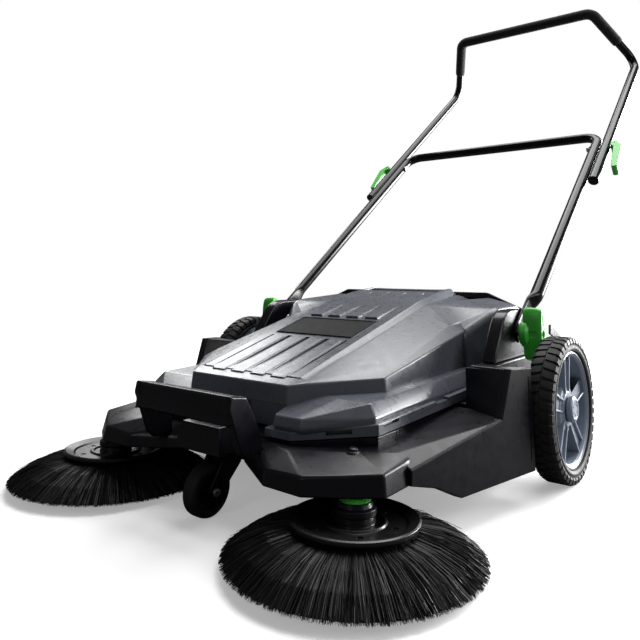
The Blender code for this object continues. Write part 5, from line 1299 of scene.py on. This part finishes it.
# ------------------------------------------------------------------ floor, light, camera
def floor_mat():
    m, nt, b = mat_base("studio_floor")
    c = coords(nt)
    n = noise_of(nt, c, 6.0, 4.0, 0.6)
    path = nd(nt, "ShaderNodeLightPath")
    pale = ramp(nt, n, [(0.3, (0.78, 0.78, 0.78)), (0.7, (0.82, 0.82, 0.82))])
    nt.links.new(mixc(nt, path.outputs["Is Camera Ray"], (BOUNCE, BOUNCE, BOUNCE), pale), b.inputs["Base Color"])
    b.inputs["Roughness"].default_value = 0.8
    b.inputs["Specular IOR Level"].default_value = 0.15
    glow = nd(nt, "ShaderNodeEmission")
    glow.inputs["Color"].default_value = (1.0, 1.0, 1.0, 1.0)
    add = nd(nt, "ShaderNodeAddShader")
    nt.links.new(math_of(nt, "MULTIPLY", path.outputs["Is Camera Ray"], GLOW), glow.inputs["Strength"])
    nt.links.new(b.outputs[0], add.inputs[0])
    nt.links.new(glow.outputs[0], add.inputs[1])
    # far from the machine the camera sees plain white, so no horizon shows
    far = nd(nt, "ShaderNodeVectorMath", operation="LENGTH")
    nt.links.new(c, far.inputs[0])
    fade = maprange(nt, far.outputs["Value"], 1.0, 2.4, 0.0, 1.0)
    white = nd(nt, "ShaderNodeEmission")
    white.inputs["Color"].default_value = (1.0, 1.0, 1.0, 1.0)
    mix = nd(nt, "ShaderNodeMixShader")
    nt.links.new(math_of(nt, "MULTIPLY", path.outputs["Is Camera Ray"], fade), mix.inputs[0])
    nt.links.new(add.outputs[0], mix.inputs[1])
    nt.links.new(white.outputs[0], mix.inputs[2])
    nt.links.new(mix.outputs[0], nt.nodes["Material Output"].inputs["Surface"])
    return m


bm = bmesh.new()
R0 = 9.0
rows = []
az0 = 0.64
fw = V(-math.sin(az0), math.cos(az0), 0)
rt_ = V(math.cos(az0), math.sin(az0), 0)
for d in (-R0, -4.0, -1.5, 0.0, 1.5, 4.0, R0):
    rows.append([bm.verts.new(fw * d + rt_ * w + V(0, 0, -0.0004)) for w in (-R0, -4.5, 0.0, 4.5, R0)])
for p, q in zip(rows[:-1], rows[1:]):
    for k in range(4):
        bm.faces.new((p[k], p[k + 1], q[k + 1], q[k]))
bmesh.ops.recalc_face_normals(bm, faces=bm.faces[:])
me = bpy.data.meshes.new("studio_sweep")
bm.to_mesh(me)
bm.free()
me.shade_smooth()
sweep = bpy.data.objects.new("studio_sweep", me)
bpy.context.scene.collection.objects.link(sweep)
me.materials.append(floor_mat())

world = bpy.data.worlds.new("studio")
bpy.context.scene.world = world
world.use_nodes = True
wt = world.node_tree
bg = wt.nodes["Background"]
bg.inputs["Color"].default_value = (1.0, 1.0, 1.0, 1.0)
bg.inputs["Strength"].default_value = WORLD
bg2 = nd(wt, "ShaderNodeBackground")
bg2.inputs["Color"].default_value = (1.0, 1.0, 1.0, 1.0)
bg2.inputs["Strength"].default_value = 1.0
lp = nd(wt, "ShaderNodeLightPath")
mx = nd(wt, "ShaderNodeMixShader")
wt.links.new(lp.outputs["Is Camera Ray"], mx.inputs[0])
wt.links.new(bg.outputs[0], mx.inputs[1])
wt.links.new(bg2.outputs[0], mx.inputs[2])
wt.links.new(mx.outputs[0], wt.nodes["World Output"].inputs["Surface"])
bpy.context.scene.view_settings.view_transform = "Standard"


def area(name, where, target, size, power, shape="RECTANGLE", size_y=None, rgb=(1, 1, 1)):
    d = bpy.data.lights.new(name, "AREA")
    d.shape = shape
    d.size = size
    d.size_y = size_y or size
    d.energy = power
    d.color = rgb
    ob = bpy.data.objects.new(name, d)
    bpy.context.scene.collection.objects.link(ob)
    ob.location = where
    ob.rotation_mode = "QUATERNION"
    ob.rotation_quaternion = (Vector(target) - Vector(where)).to_track_quat("-Z", "Y")
    return ob


for args in LIGHTS:
    area(*args)

cd = bpy.data.cameras.new("camera")
cam = bpy.data.objects.new("camera", cd)
bpy.context.scene.collection.objects.link(cam)
az, el, roll = 0.6400, -0.1584, 0.0017
fwd = V(-math.sin(az) * math.cos(el), math.cos(az) * math.cos(el), -math.sin(el))
right = V(math.cos(az), math.sin(az), 0.0)
upv = right.cross(fwd)
r2 = right * math.cos(roll) + upv * math.sin(roll)
u2 = -right * math.sin(roll) + upv * math.cos(roll)
cam.rotation_mode = "QUATERNION"
cam.rotation_quaternion = Matrix((r2, u2, -fwd)).transposed().to_quaternion()
CX, CY, CZ = 0.7034, -1.2973, 0.3406
cam.location = (CX, CY, CZ)
cd.lens = 34.74
cd.sensor_width = 36.0
cd.clip_start, cd.clip_end = 0.02, 60.0
# the photo is cropped off centre; that lens shift belongs only to the photo's own viewpoint, so the other
# angles stay centred: the shift follows the distance between the camera and the photo's viewpoint
home = bpy.data.objects.new("camera_home", None)
bpy.context.scene.collection.objects.link(home)
home.location = (CX, CY, CZ)
for path_, amount in (("shift_x", -0.0356), ("shift_y", -0.2349)):
    setattr(cd, path_, amount)
    curve = cd.driver_add(path_)
    for old in list(curve.modifiers):
        curve.modifiers.remove(old)
    while len(curve.keyframe_points) > 2:
        curve.keyframe_points.remove(curve.keyframe_points[-1])
    curve.keyframe_points.add(2 - len(curve.keyframe_points))
    for kp, (x_, y_) in zip(curve.keyframe_points, ((0.0, amount), (0.05, 0.0))):
        kp.co = (x_, y_)
        kp.interpolation = "LINEAR"
    curve.update()
    curve.extrapolation = "CONSTANT"
    drv = curve.driver
    drv.type = "AVERAGE"
    v_ = drv.variables.new()
    v_.name = "away"
    v_.type = "LOC_DIFF"
    v_.targets[0].id = cam
    v_.targets[1].id = home
bpy.context.scene.camera = cam
